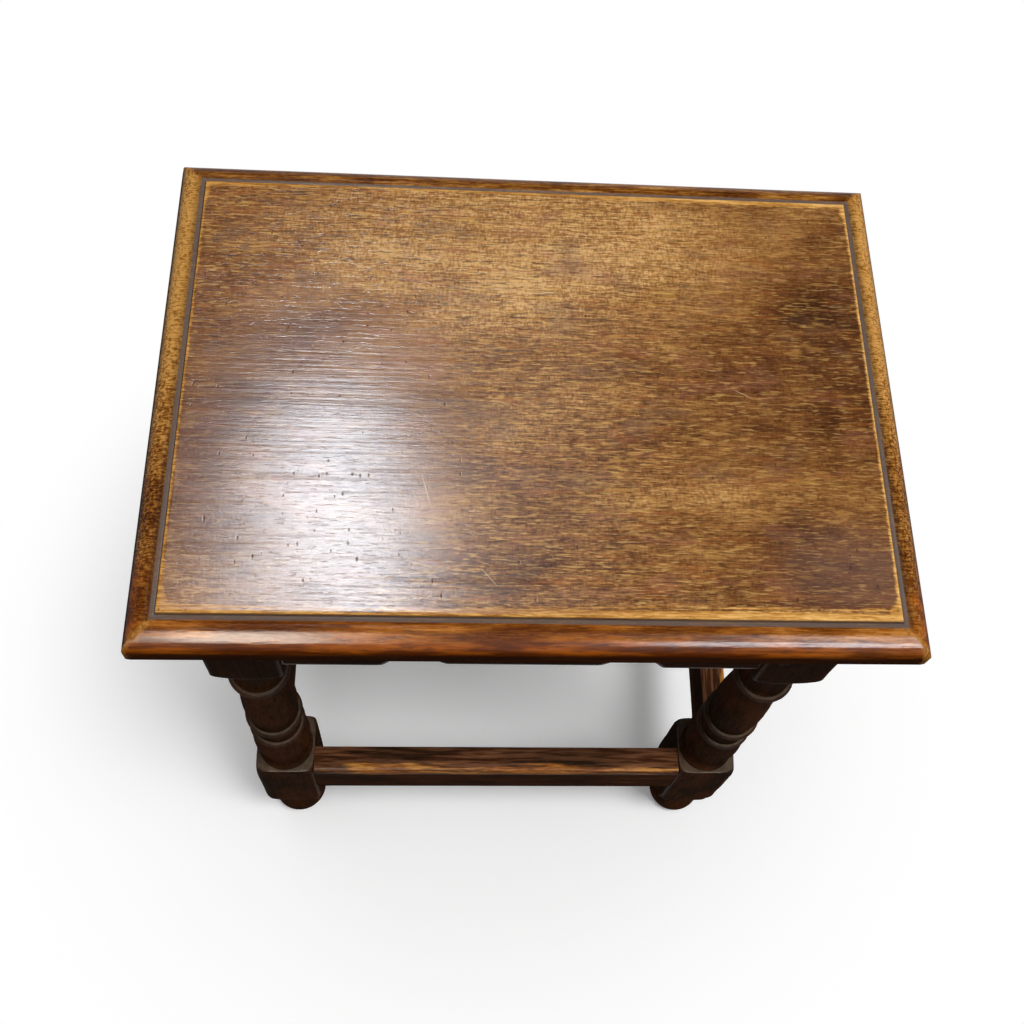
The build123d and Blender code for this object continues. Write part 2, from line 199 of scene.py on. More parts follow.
# ---- Shader nodes -----------------------------------------------------------------------------
class Shade:
    """Builds the nodes of one material, or of the world."""

    def __init__(self, owner):
        owner.use_nodes = True
        self.owner = owner
        self.tree = owner.node_tree
        self.tree.nodes.clear()

    def node(self, kind, inputs=(), **settings):
        """Add a node. Inputs are (socket, value) pairs, and a value that is a socket is linked."""
        made = self.tree.nodes.new(kind)
        for key, value in settings.items():
            setattr(made, key, value)
        for key, value in inputs:
            if isinstance(value, bpy.types.NodeSocket):
                self.tree.links.new(value, made.inputs[key])
            elif value is not None:
                made.inputs[key].default_value = value
        return made

    def coordinates(self):
        return self.node("ShaderNodeTexCoord").outputs["Object"]

    def attribute(self, name, output="Fac"):
        return self.node("ShaderNodeAttribute", attribute_name=name).outputs[output]

    def axis(self, vector, name):
        return self.node("ShaderNodeSeparateXYZ", [(0, vector)]).outputs[name]

    def math(self, operation, first, second=None, third=None, clamp=False):
        inputs = [(0, first), (1, second), (2, third)]
        return self.node("ShaderNodeMath", inputs, operation=operation, use_clamp=clamp).outputs[0]

    def vector_math(self, operation, first, second=None, output="Vector"):
        inputs = [(0, first), (1, second)]
        return self.node("ShaderNodeVectorMath", inputs, operation=operation).outputs[output]

    def less(self, first, second):
        return self.math("SUBTRACT", first, second)

    def product(self, first, *others):
        for other in others:
            first = self.math("MULTIPLY", first, other)
        return first

    def total(self, start, *parts):
        """A start value plus each part times its amount. Parts are (value, amount) pairs."""
        for value, amount in parts:
            start = self.math("MULTIPLY_ADD", value, amount, start)
        return start

    def tuned(self, start, *marks):
        """Add marks that run from 0 to 1 without shifting the mean. They are (value, amount) pairs."""
        return self.total(start, *[(self.less(value, 0.5), amount) for value, amount in marks])

    def band(self, value, low, high, to_low=0.0, to_high=1.0):
        """Smooth step from to_low at low to to_high at high."""
        inputs = [("Value", value), ("From Min", low), ("From Max", high)]
        inputs += [("To Min", to_low), ("To Max", to_high)]
        return self.node("ShaderNodeMapRange", inputs, interpolation_type="SMOOTHSTEP").outputs[0]

    def mapped(self, vector, scale, shift=(0, 0, 0)):
        inputs = [("Vector", vector), ("Scale", scale), ("Location", shift)]
        return self.node("ShaderNodeMapping", inputs).outputs[0]

    def noise(self, vector, scale, detail=2.0, roughness=0.5, shift=(0, 0, 0)):
        """Noise with features of about 1 / scale metres along each axis, 0 to 1 with a mean of a half."""
        inputs = [("Vector", self.mapped(vector, scale, shift)), ("Scale", 1.0)]
        inputs += [("Detail", detail), ("Roughness", roughness)]
        return self.node("ShaderNodeTexNoise", inputs).outputs["Fac"]

    def flecks(self, vector, scale, detail=2.0, roughness=0.5, shift=(0, 0, 0), low=0.38, high=0.62):
        """Noise pushed towards its ends, so that it reads as separate light and dark marks."""
        return self.band(self.noise(vector, scale, detail, roughness, shift), low, high)

    def cells(self, vector, scale, **settings):
        """Outputs of a pattern of cells: the chance colour of each one, and the distance to its middle."""
        inputs = [("Vector", self.mapped(vector, scale)), ("Scale", 1.0)]
        return self.node("ShaderNodeTexVoronoi", inputs, **settings).outputs

    def mix(self, share, first, second):
        """The first colour, turned to the second one by a share."""
        sides = [
            side if isinstance(side, bpy.types.NodeSocket) else (*side, 1.0) for side in (first, second)
        ]
        inputs = [(0, share), (6, sides[0]), (7, sides[1])]
        return self.node("ShaderNodeMix", inputs, data_type="RGBA").outputs[2]

    def dyed(self, tint, *dyes):
        """Lay colours over a tint, one after another. Dyes are (where, strength, colour) groups."""
        for share, strength, shown in dyes:
            tint = self.mix(self.product(share, strength), tint, shown)
        return tint

    def ramp(self, value, *stops):
        """Colour ramp from (position, colour) pairs, with the colours as they show, 0 to 255."""
        made = self.node("ShaderNodeValToRGB", [(0, value)])
        elements = made.color_ramp.elements
        while len(elements) < len(stops):
            elements.new(0.5)
        for element, (position, shown) in zip(elements, stops):
            element.position = position
            element.color = (*srgb(*shown), 1.0)
        return made.outputs[0]

    def bump(self, height, strength, distance):
        inputs = [("Height", height), ("Strength", strength), ("Distance", distance)]
        return self.node("ShaderNodeBump", inputs).outputs[0]

    def surface(self, tint, roughness, normal, level, coat=0.0, coat_roughness=0.2, metallic=0.0):
        """Close the material with one Principled shader. Level and coat roughness are plain numbers."""
        inputs = [
            ("Base Color", tint),
            ("Roughness", roughness),
            ("Normal", normal),
            ("Specular IOR Level", level),
            ("Coat Weight", coat),
            ("Coat Roughness", coat_roughness),
            ("Coat Normal", normal),
            ("Metallic", metallic),
        ]
        shader = self.node("ShaderNodeBsdfPrincipled", inputs)
        self.node("ShaderNodeOutputMaterial", [("Surface", shader.outputs[0])])
        return self.owner


# ---- Finish of the top ------------------------------------------------------------------------
class TopOak(Shade):
    """Stained and waxed oak with the grain along X, rubbed pale in places and worn on its edges."""

    def __init__(self, look, size):
        super().__init__(bpy.data.materials.new("waxed_oak_top"))
        self.look = look
        self.top = size[2]
        self.where = self.coordinates()
        self.x, self.y, self.height = [self.axis(self.where, name) for name in "XYZ"]
        # How far a point lies in from the thumb's end, and in from the start of the field.
        self.past_thumb = self.less(self.attribute("inset"), look.thumb_width)
        self.beyond = self.less(self.past_thumb, look.quirk_width)
        self.on_thumb = self.band(self.past_thumb, 0.0006, -0.0002)
        # How near a point is to the board's short and long edges.
        self.aside = self.less(size[0] / 2, self.math("ABSOLUTE", self.x))
        self.ahead = self.less(size[1] / 2, self.math("ABSOLUTE", self.y))
        self.past_mitre = self.less(self.ahead, self.aside)
        self.at_side = self.band(self.past_mitre, -0.001, 0.001)
        self.at_front = self.band(self.y, -0.10, -0.13)
        self.mark_grain()

    def mark_grain(self):
        """The marks that the whole board shares, along a grain that wanders a little."""
        lean = self.total(-0.0015, (self.noise(self.where, (3, 7, 7), 1), 0.003))
        offset = self.node("ShaderNodeCombineXYZ", [("Y", lean), ("Z", lean)]).outputs[0]
        grain = self.vector_math("ADD", self.where, offset)
        self.grain = grain
        self.streaks = self.flecks(grain, (50, 900, 900), 1, 0.5, (0, 0, 0), 0.40, 0.60)
        self.dashes = self.flecks(grain, (210, 960, 960), 1, 0.6, (3.1, 0, 0), 0.42, 0.58)
        self.ticks = self.flecks(self.where, (620, 270, 270), 2, 0.6, (0, 1, 0), 0.42, 0.58)
        self.pores = self.band(self.noise(grain, (95, 820, 820), 1, 0.5, (9.3, 0, 0)), 0.60, 0.67)
        self.comb = self.noise(grain, (9, 480, 480), 1, 0.5, (0, 2.5, 0))
        self.clouds = self.noise(self.where, (15, 22, 22), 4, 0.62, (2.2, 5.1, 0))
        self.ragged = self.noise(self.where, (90, 90, 90), 3, 0.65, (0, 3, 0))

    def patch(self, centre, radii, core):
        """1 inside the core of an oval on the board, falling smoothly to 0 at its rim."""
        away = self.vector_math("SUBTRACT", self.where, (*centre, self.top))
        shares = self.vector_math("DIVIDE", away, (*radii, 1.0))
        return self.band(self.vector_math("LENGTH", shares, output="Value"), 1.0, core)

    def field(self):
        """The field's colour: its stain, rubbed pale in places, the marks of the grain in it, and a painted
        sheen at the front right.
        """
        where, grain = self.where, self.grain
        # Where the stain is rubbed away or lies thick. Each patch is centre, radii, core and amount.
        patches = (
            ((-0.015, 0.098), (0.205, 0.085), 0.35, 0.33),
            ((0.110, 0.115), (0.090, 0.060), 0.10, 0.07),
            ((0.115, -0.062), (0.075, 0.045), 0.10, 0.11),
            ((0.000, -0.005), (0.085, 0.060), 0.10, 0.13),
            ((-0.150, -0.010), (0.100, 0.120), 0.20, -0.14),
            ((0.172, 0.026), (0.095, 0.105), 0.10, -0.30),
            ((-0.205, -0.120), (0.080, 0.070), 0.10, -0.06),
            ((0.165, -0.110), (0.095, 0.055), 0.10, -0.18),
        )
        tone = self.tuned(0.45, (self.clouds, 0.80))
        for centre, radii, core, amount in patches:
            tone = self.total(tone, (self.patch(centre, radii, core), amount))
        rubbed = self.band(tone, 0.40, 0.75)
        # One stretch of the board was stained a little darker, up to a straight line across the grain.
        lap = self.product(self.band(self.x, 0.0580, 0.0560), self.band(self.y, 0.000, -0.030))
        tone = self.total(tone, (lap, -0.05))
        # The marks are fainter towards the right, and faintest where the wax is thickest.
        calm = self.band(self.x, 0.04, 0.15, 1.0, 0.66)
        waxed = self.patch((-0.130, -0.040), (0.125, 0.160), 0.40)
        marked = self.product(self.band(waxed, 0.0, 1.0, 1.0, 0.34), calm)
        # Broad square-ended patches, where the stain took more or less.
        blocks = self.axis(self.cells(grain, (26, 62, 62), distance="CHEBYCHEV")["Color"], "X")
        years = self.flecks(grain, (7, 90, 90), 3, 0.65, (0, 7.7, 0), 0.34, 0.66)
        tone = self.tuned(
            tone,
            (blocks, 0.10),
            (years, 0.10),
            (self.streaks, self.product(marked, 0.18)),
            (self.dashes, self.product(marked, 0.21)),
            (self.ticks, self.product(marked, self.band(rubbed, 0.0, 1.0, 0.11, 0.21))),
        )
        tint = self.ramp(
            tone,
            (0.00, (62, 34, 16)),
            (0.25, (101, 60, 28)),
            (0.48, (135, 90, 46)),
            (0.68, (162, 114, 62)),
            (0.85, (190, 143, 86)),
            (1.00, (214, 170, 112)),
        )
        # Redder stain towards the left, marks of other colours, and last a painted sheen at the front
        # right.
        orange_lines = self.flecks(grain, (24, 260, 260), 2, 0.6, (0, 0, 4), 0.56, 0.68)
        rosy_patches = self.flecks(where, (30, 64, 64), 3, 0.6, (5, 0, 5), 0.54, 0.66)
        golden_patches = self.flecks(grain, (60, 300, 300), 3, 0.6, (0, 5, 2), 0.56, 0.66)
        dark_lines = self.flecks(grain, (60, 620, 620), 1, 0.5, (0, 6, 0), 0.60, 0.68)
        gold_lines = self.flecks(grain, (120, 900, 900), 1, 0.5, (0, 9, 0), 0.58, 0.68)
        grey_patches = self.flecks(where, (24, 40, 40), 3, 0.6, (8, 0, 0), 0.54, 0.66)
        return self.dyed(
            tint,
            (self.band(self.x, 0.02, -0.20), 0.16, tuple(self.look.russet)),
            (self.product(marked, orange_lines), 0.34, srgb(158, 84, 38)),
            (self.product(calm, rosy_patches), 0.30, srgb(160, 104, 80)),
            (self.product(marked, golden_patches), 0.34, srgb(210, 160, 82)),
            (self.product(marked, dark_lines), 0.50, srgb(78, 56, 36)),
            (self.product(marked, gold_lines), 0.48, srgb(222, 176, 104)),
            (self.product(calm, grey_patches), 0.32, srgb(106, 80, 64)),
            (self.product(marked, self.pores), 0.60, srgb(66, 38, 20)),
            # Painted sheen: a greyer, paler patch at the front right, where light glances off the wax.
            (self.patch((0.180, -0.112), (0.065, 0.045), 0.20), 0.30, srgb(134, 104, 92)),
        )

    def gold_share(self):
        """Where bare wood shows, in a streaky line along the field's edge."""
        # The line is wider at both ends, and narrow along the sides and the back.
        corner = self.band(self.x, -0.200, -0.125, 0.0036, 0.0)
        wide = self.math("ADD", self.band(self.x, -0.10, 0.14, 0.0026, 0.0062), corner)
        to_front = self.band(self.at_front, 0.0, 1.0, 0.62, 1.0)
        wide = self.product(wide, to_front, self.band(self.past_mitre, 0.0, 0.016, 1.0, 0.36))
        # Its inner rim is ragged, and at the front it runs out in fingers along the grain.
        fingers = self.flecks(self.grain, (9, 340, 340), 2, 0.5, (0, 0, 8), 0.36, 0.64)
        fingering = self.product(self.at_front, self.less(1.0, self.at_side))
        finger_length = self.band(fingering, 0.0, 1.0, -0.0004, -0.0036)
        ragged_rim = ((self.dashes, -0.0006), (self.ragged, -0.0018), (fingers, finger_length))
        reach = self.tuned(self.beyond, *ragged_rim)
        golden = self.band(self.less(reach, wide), 0.0009, -0.0009)
        return self.product(golden, self.band(self.beyond, -0.0004, 0.0001))

    def gold(self):
        """The bare wood's colour, brightest on the arris and towards the right."""
        on_arris = self.band(self.beyond, 0.0035, 0.0)
        bright = self.total(0.06, (self.dashes, 0.16), (self.streaks, 0.32), (on_arris, 0.18))
        bright = self.tuned(bright, (self.band(self.x, 0.02, 0.12), 0.26))
        return self.ramp(bright, (0.10, (160, 104, 42)), (0.45, (206, 150, 74)), (0.85, (242, 192, 116)))

    def thumb(self):
        """The thumb's colour: orange lights in the stain, and painted shade that makes it nearly black at
        its foot.
        """
        glow = self.flecks(self.grain, (17, 150, 150), 3, 0.62, (0, 0, 11), 0.40, 0.66)
        runs = self.total(0.06, (self.streaks, 0.20), (glow, 0.36), (self.dashes, 0.14))
        # The sides run across the grain, so their marks are short. They are dark towards the front.
        short_marks = self.total(0.17, (self.ticks, 0.22), (self.dashes, 0.36))
        inputs = [("Factor", self.at_side), ("A", runs), ("B", short_marks)]
        runs = self.node("ShaderNodeMix", inputs).outputs[0]
        runs = self.tuned(runs, (self.clouds, 0.7))
        # Towards the right the front is paler: partly a paler stain, partly a painted sheen.
        paler_and_sheen_to_right = self.product(self.at_front, self.band(self.x, 0.02, 0.18))
        to_back = self.product(self.at_side, self.band(self.y, -0.13, 0.06))
        runs = self.total(runs, (paler_and_sheen_to_right, 0.20), (to_back, 0.56), (self.at_side, -0.16))
        tint = self.ramp(
            runs,
            (0.00, (58, 28, 10)),
            (0.30, (110, 62, 20)),
            (0.58, (156, 102, 40)),
            (0.90, (208, 154, 80)),
        )
        # The front is redder, most of all below its crown.
        below_crown = self.band(self.height, self.top - 0.0016, self.top - 0.0056, 0.48, 0.90)
        ember = self.mix(glow, srgb(94, 40, 7), srgb(168, 84, 14))
        tint = self.mix(self.product(self.at_front, below_crown), tint, ember)
        # Painted shade: on the sides the thumb is painted darker beside the quirk, in the recess under the
        # field.
        shade_beside_quirk = self.product(self.at_side, self.band(self.past_thumb, -0.005, 0.0))
        # Painted shade: the thumb's lower face, which turns away from the light from above, is painted
        # nearly black.
        front_foot_shade = self.band(self.height, self.top - 0.0080, self.top - 0.0140)
        side_foot_shade = self.product(self.at_side, self.band(self.height, self.top - 0.0035, self.top - 0.0085))
        foot = self.math("MAXIMUM", front_foot_shade, side_foot_shade)
        return self.dyed(
            tint,
            (shade_beside_quirk, 0.55, srgb(58, 36, 20)),
            (foot, 0.92, srgb(38, 18, 7)),
            (self.pores, 0.5, tuple(self.look.deep)),
        )

    def mitres(self):
        """Where the four mitres are rubbed golden, and the colour that shows there."""
        split = self.math("ABSOLUTE", self.past_mitre)
        split = self.tuned(split, (self.ticks, 0.003), (self.ragged, 0.014))
        near_corner = self.band(self.math("MAXIMUM", self.aside, self.ahead), 0.021, 0.016)
        share = self.product(self.band(split, 0.0040, 0.0004), self.on_thumb, near_corner)
        shown = self.mix(self.total(0.2, (self.ticks, 0.6)), srgb(128, 74, 24), srgb(206, 146, 70))
        return share, 0.85, shown

    def quirk_dyes(self):
        """Old wax and grime in the quirk, painted a paler grey that is partly a painted sheen, and painted
        shade darkest under the field's edge.
        """
        in_quirk = self.product(
            self.band(self.past_thumb, -0.0004, 0.0005), self.band(self.beyond, 0.0002, -0.0003)
        )
        # Painted shade: a dark line in the quirk at the foot of the step up to the field.
        shade_under_field_edge = self.product(in_quirk, self.band(self.beyond, -0.0011, -0.0004))
        uneven = self.band(self.ragged, 0.3, 0.7, 0.95, 0.75)
        return (in_quirk, uneven, tuple(self.look.dirt_and_sheen)), (shade_under_field_edge, 0.55, srgb(48, 32, 22))

    def pits(self):
        """Small pits and knocks in the field: a few cells of a pattern, each with a size of its own."""
        cells = self.cells(self.where, (210, 92, 92), voronoi_dimensions="2D")
        chosen = self.band(self.axis(cells["Color"], "X"), 0.88, 0.90)
        rim = self.total(0.06, (self.axis(cells["Color"], "Y"), 0.13))
        pits = self.product(self.band(cells["Distance"], rim, self.product(rim, 0.3)), chosen)
        return self.product(pits, self.band(self.beyond, 0.0005, 0.0015))

    def scratch(self, start, end, width):
        """1 on a thin straight line between two points of the board, fading to 0 at its rim."""
        line = Vector(end) - Vector(start)
        along = Vector((*line, 0.0)).normalized()
        across = Vector((-along.y, along.x, 0.0))
        centre = Vector((*((Vector(start) + Vector(end)) / 2), 0.0))
        away = self.vector_math("SUBTRACT", self.where, centre)
        shares = []
        for direction, reach in ((along, line.length / 2), (across, width)):
            distance = self.math("ABSOLUTE", self.vector_math("DOT_PRODUCT", away, direction, "Value"))
            shares.append(self.band(distance, reach, reach * 0.4))
        return self.product(*shares)

    def scratches(self):
        """Three old scratches."""
        first = self.scratch((-0.0665, -0.0530), (-0.0590, -0.0800), 0.0006)
        second = self.scratch((-0.0320, -0.1130), (-0.0210, -0.1260), 0.0005)
        third = self.scratch((0.1210, 0.0040), (0.1330, -0.0020), 0.0005)
        return self.math("MAXIMUM", self.math("MAXIMUM", first, second), third)

    def wax(self, pits):
        """Wax rubbed to a shine on the field and the thumb's crown, and dull lower down.

        It has left the pits and the deeper lines of the grain, which stay dark where the light
        glances off the top. None is left in the quirk and on the sharp edges at its two sides.
        """
        side_thumb = self.product(self.at_side, self.on_thumb)
        bare_rims = self.product(
            self.band(self.past_thumb, -0.0050, -0.0030), self.band(self.beyond, 0.0013, 0.0006)
        )
        return self.product(
            self.band(self.clouds, 0.25, 0.75, 0.40, 0.50),
            self.band(self.comb, 0.34, 0.47, 0.72, 1.04),
            self.band(self.dashes, 0.0, 1.0, 0.92, 1.04),
            self.band(pits, 0.0, 0.8, 1.0, 0.35),
            self.band(self.height, self.top - 0.0090, self.top - 0.0055, 0.015, 1.0),
            self.band(side_thumb, 0.0, 1.0, 1.0, 0.40),
            self.band(bare_rims, 0.0, 1.0, 1.0, 0.06),
        )

    def finish(self):
        """Put the parts of the finish together."""
        golden, pits = self.gold_share(), self.pits()
        tint = self.dyed(self.field(), (golden, 0.94, self.gold()))
        tint = self.mix(self.on_thumb, tint, self.thumb())
        tint = self.dyed(
            tint,
            self.mitres(),
            *self.quirk_dyes(),
            (pits, 0.62, tuple(self.look.deep)),
            (self.scratches(), 0.45, srgb(206, 176, 140)),
        )
        relief = self.total(0.0, (self.comb, 0.8), (self.pores, -0.40), (self.streaks, 0.14))
        relief = self.total(relief, (self.ticks, 0.07), (pits, -0.5))
        roughness = self.total(0.26, (self.clouds, 0.2), (self.pores, 0.2), (golden, 0.06))
        return self.surface(tint, roughness, self.bump(relief, 0.30, 0.0002), 0.0, self.wax(pits), 0.17)


# ---- Other finishes ---------------------------------------------------------------------------
class FrameOak(Shade):
    """The near-black stain that the legs and rails share, along each piece's own grain, with painted shade
    under the top.
    """

    def __init__(self, name, look):
        super().__init__(bpy.data.materials.new(name))
        grain = self.attribute("grain", "Vector")
        self.grain = grain
        self.wear = self.attribute("wear")
        self.streaks = self.flecks(grain, (26, 380, 380), 3, 0.6)
        self.fine = self.flecks(grain, (110, 640, 640), 2, 0.5, (1, 2, 3))
        self.clouds = self.flecks(grain, (12, 30, 30), 3, 0.6, (0, 8, 0), 0.36, 0.66)
        pores = self.band(self.noise(grain, (80, 850, 850), 2, 0.5, (5, 0, 0)), 0.60, 0.68)
        # Painted shade: the stain is painted darker towards the top, under the board, where its shadow
        # falls.
        shade_under_top_start = look.upper_ring + 0.010
        painted_shade_under_top = self.band(self.axis(self.coordinates(), "Z"), shade_under_top_start, look.top_block_foot)
        tone = self.total(0.0, (self.streaks, 0.22), (self.clouds, 0.65), (self.fine, 0.13))
        self.tint = self.dyed(
            self.mix(tone, tuple(look.stain), tuple(look.warm)),
            (pores, 0.55, srgb(16, 10, 7)),
            (painted_shade_under_top, 0.45, srgb(19, 14, 11)),
        )
        self.normal = self.bump(self.total(self.streaks, (self.fine, 0.15), (pores, -0.6)), 0.28, 0.0002)
        self.roughness = self.total(0.36, (self.clouds, 0.12), (pores, 0.2))


def dark_oak(name, look):
    """Near-black stained oak of the legs and aprons, rubbed brown on beads and arrises."""
    shade = FrameOak(name, look)
    patchy = shade.noise(shade.grain, (45, 160, 160), 3, 0.6, (0, 0, 6))
    rub = shade.tuned(shade.wear, (shade.fine, 0.2), (patchy, 1.2))
    tint = shade.mix(shade.band(rub, 0.35, 0.95, 0.0, 0.7), shade.tint, tuple(look.rubbed))
    tint = shade.mix(shade.band(shade.wear, -0.06, -0.40, 0.0, 0.85), tint, srgb(14, 10, 7))
    # The flat upward faces of the lower blocks are painted a paler grey.
    facing = shade.axis(shade.node("ShaderNodeTexCoord").outputs["Normal"], "Z")
    pale_grey_tops = shade.tuned(shade.band(facing, 0.80, 0.99, 0.0, 0.50), (patchy, 0.8))
    pale_grey_tops = shade.math("MULTIPLY", pale_grey_tops, shade.band(facing, 0.75, 0.92), clamp=True)
    tint = shade.mix(pale_grey_tops, tint, srgb(112, 98, 82))
    coat = shade.band(shade.wear, 0.05, 0.45, 0.012, 0.30)
    return shade.surface(tint, shade.roughness, shade.normal, 0.0, coat, 0.26)


def stretcher_oak(look):
    """The same stain on the low rails, trodden through to golden wood along the upper outer edge."""
    shade = FrameOak("worn_stretcher_oak", look)
    # Light scuffs on the upper face.
    scuffs = shade.flecks(shade.grain, (26, 400, 400), 3, 0.6, (0, 4, 9), 0.40, 0.64)
    scuffs = shade.product(scuffs, shade.total(0.45, (shade.clouds, 0.5)), shade.attribute("tread"))
    tint = shade.dyed(shade.tint, (scuffs, 0.90, srgb(134, 88, 60)))
    # The worn streak itself, in long ragged lines.
    tear = shade.noise(shade.grain, (9, 230, 230), 4, 0.65, (0, 0, 3))
    rub = shade.tuned(shade.wear, (shade.streaks, 0.30), (tear, 1.9))
    bright = shade.total(0.0, (shade.fine, 0.2), (shade.clouds, 0.4), (shade.streaks, 0.4))
    streak = shade.ramp(bright, (0.10, (96, 48, 14)), (0.45, (152, 88, 28)), (0.90, (214, 148, 62)))
    tint = shade.mix(shade.band(rub, 0.34, 0.80, 0.0, 0.95), tint, streak)
    coat = shade.band(shade.wear, 0.05, 0.6, 0.012, 0.18)
    return shade.surface(tint, shade.roughness, shade.normal, 0.0, coat, 0.28)


def raw_oak(name, look, by_attribute):
    """Bare sawn oak, greyed with dust, where the maker left the wood unstained."""
    shade = Shade(bpy.data.materials.new(name))
    grain = shade.attribute("grain", "Vector") if by_attribute else shade.coordinates()
    streaks = shade.noise(grain, (30, 380, 380), 4, 0.6)
    saw = shade.noise(grain, (700, 18, 18), 2, 0.6, (0, 4, 0))
    dust = shade.noise(grain, (22, 30, 30), 4, 0.6, (6, 0, 0))
    pores = shade.band(shade.noise(grain, (90, 1100, 1100), 2), 0.6, 0.7)
    tint = shade.mix(shade.band(streaks, 0.35, 0.7), srgb(92, 64, 42), tuple(look.raw))
    tint = shade.dyed(tint, (pores, 0.6, srgb(58, 38, 26)))
    tint = shade.mix(shade.band(dust, 0.5, 0.75, 0.0, 0.45), tint, srgb(118, 104, 88))
    normal = shade.bump(shade.total(streaks, (pores, -0.8), (saw, 0.6)), 0.5, 0.0003)
    return shade.surface(tint, shade.total(0.72, (dust, 0.15)), normal, 0.25)


def peg_oak(look):
    """End grain of the pegs: rings and pores seen end on, stained with the frame and rubbed."""
    shade = Shade(bpy.data.materials.new("stained_peg_oak"))
    where = shade.coordinates()
    flecks = shade.noise(where, (900, 900, 900), 2, 0.6)
    blotch = shade.noise(where, (190, 190, 190), 3, 0.6, (3, 0, 0))
    tint = shade.mix(shade.band(blotch, 0.4, 0.7), tuple(look.stain), tuple(look.warm))
    tint = shade.mix(shade.band(flecks, 0.55, 0.7, 0.0, 0.7), tint, srgb(20, 13, 9))
    normal = shade.bump(flecks, 0.4, 0.0002)
    return shade.surface(tint, shade.total(0.42, (blotch, 0.2)), normal, 0.0, 0.02, 0.3)


def rusty_steel():
    """Dull steel of the pocket screws, browned with rust."""
    shade = Shade(bpy.data.materials.new("dull_screw_steel"))
    where = shade.coordinates()
    rust = shade.noise(where, (420, 420, 420), 4, 0.65)
    grit = shade.noise(where, (1900, 1900, 1900), 2)
    tint = shade.mix(shade.band(rust, 0.45, 0.62), srgb(126, 122, 116), srgb(92, 56, 36))
    normal = shade.bump(grit, 0.3, 0.0001)
    roughness = shade.band(rust, 0.4, 0.7, 0.38, 0.8)
    return shade.surface(tint, roughness, normal, 0.5, metallic=shade.band(rust, 0.66, 0.45))


# ---- Mesh helpers -----------------------------------------------------------------------------
SHARP_ANGLE = radians(48)
TINY = 1e-6


def add_object(name, data):
    added = bpy.data.objects.new(name, data)
    bpy.context.scene.collection.objects.link(added)
    return added


def finish_piece(name, bm, materials, nodes):
    """Turn a bmesh into a piece of the stool that stands for the given nodes."""
    mesh = bpy.data.meshes.new(name)
    bm.to_mesh(mesh)
    bm.free()
    mesh.shade_smooth()
    mesh.set_sharp_from_angle(angle=SHARP_ANGLE)
    for material in materials:
        mesh.materials.append(material)
    piece = add_object(name, mesh)
    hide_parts(*nodes)
    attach(piece, "root")


def dress_node(name, material):
    """Give a node of the construction its finish."""
    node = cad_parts[name]
    node.data.materials.clear()
    node.data.materials.append(material)


def smooth_step(value, low, high):
    share = min(1.0, max(0.0, (value - low) / (high - low)))
    return share * share * (3 - 2 * share)


def long_edges(bm, axis, least):
    """Edges that reach further than the least length along an axis, which is 0 for X and 1 for Y."""
    return [edge for edge in bm.edges if abs(edge.verts[0].co[axis] - edge.verts[1].co[axis]) > least]


def soften(bm, edges, radius, segments):
    """Round edges off and give back the new faces."""
    made = bmesh.ops.bevel(
        bm, geom=edges, offset=radius, segments=segments, profile=0.5, affect="EDGES", material=-1
    )
    return made["faces"]


def split_edges(bm, chosen, step):
    """Cut edges of like length into stretches of about one step, with lines across between them."""
    cuts = max(1, round(max(edge.calc_length() for edge in chosen) / step)) - 1
    bmesh.ops.subdivide_edges(bm, edges=chosen, cuts=cuts, use_grid_fill=True)


def box_mesh(low, high):
    """A closed box between two corners."""
    bm = bmesh.new()
    bmesh.ops.create_cube(bm, size=1.0)
    bmesh.ops.scale(bm, vec=high - low, verts=bm.verts)
    bmesh.ops.translate(bm, vec=(low + high) / 2, verts=bm.verts)
    return bm


def store_grain(bm, along, shift):
    """Keep each point's place along and across the grain, moved so that no two pieces match."""
    layer = bm.verts.layers.float_vector.new("grain")
    across = Vector((along.y, along.z, along.x))
    through = along.cross(across)
    for vert in bm.verts:
        vert[layer] = Vector((vert.co.dot(along), vert.co.dot(across), vert.co.dot(through))) + shift


def store_curve_wear(bm, sharpest):
    """Wear from curvature: about 1 where it is sharpest, 0 on the flat and negative in a hollow."""
    layer = bm.verts.layers.float.new("wear")
    bm.normal_update()
    bends = {}
    for vert in bm.verts:
        total = 0.0
        for edge in vert.link_edges:
            away = edge.other_vert(vert).co - vert.co
            total -= 2 * vert.normal.dot(away) / max(away.length_squared, TINY**2)
        bends[vert] = total / len(vert.link_edges) / sharpest
    for vert in bm.verts:
        near = [bends[edge.other_vert(vert)] for edge in vert.link_edges]
        share = (bends[vert] + sum(near)) / (1 + len(near))
        vert[layer] = max(-1.0, min(1.0, share))


# ---- Top --------------------------------------------------------------------------------------
def edge_profile(look, upright, field):
    """Points of the moulded edge from the top of its upright face to the field, as (inset, height)."""
    crown = field - look.crown_drop
    floor = field - look.quirk_depth
    thumb_end = look.thumb_width
    crown_land = 0.0022
    crown_at = thumb_end - crown_land
    field_start = thumb_end + look.quirk_width
    soft = look.field_softness
    thumb_steps, field_steps = 16, 4
    points = []
    for step in range(1, thumb_steps + 1):
        turn = pi / 2 * step / thumb_steps
        points.append((crown_at * (1 - cos(turn)), upright + look.thumb_rise * sin(turn)))
    # The thumb's arris, the quirk's floor and the foot of the step up to the field.
    points += [
        (thumb_end - 0.0009, crown - 0.0003),
        (thumb_end - 0.0001, crown - 0.0008),
        (thumb_end + 0.0005, floor + 0.0003),
        (thumb_end + 0.0010, floor),
        (field_start - 0.0005, floor),
        (field_start - 0.0001, floor + 0.0005),
    ]
    for step in range(field_steps + 1):
        turn = pi / 2 * step / field_steps
        points.append((field_start + soft * (1 - cos(turn)), field - soft + soft * sin(turn)))
    return points + [(field_start + reach, field) for reach in (0.0025, 0.005)]


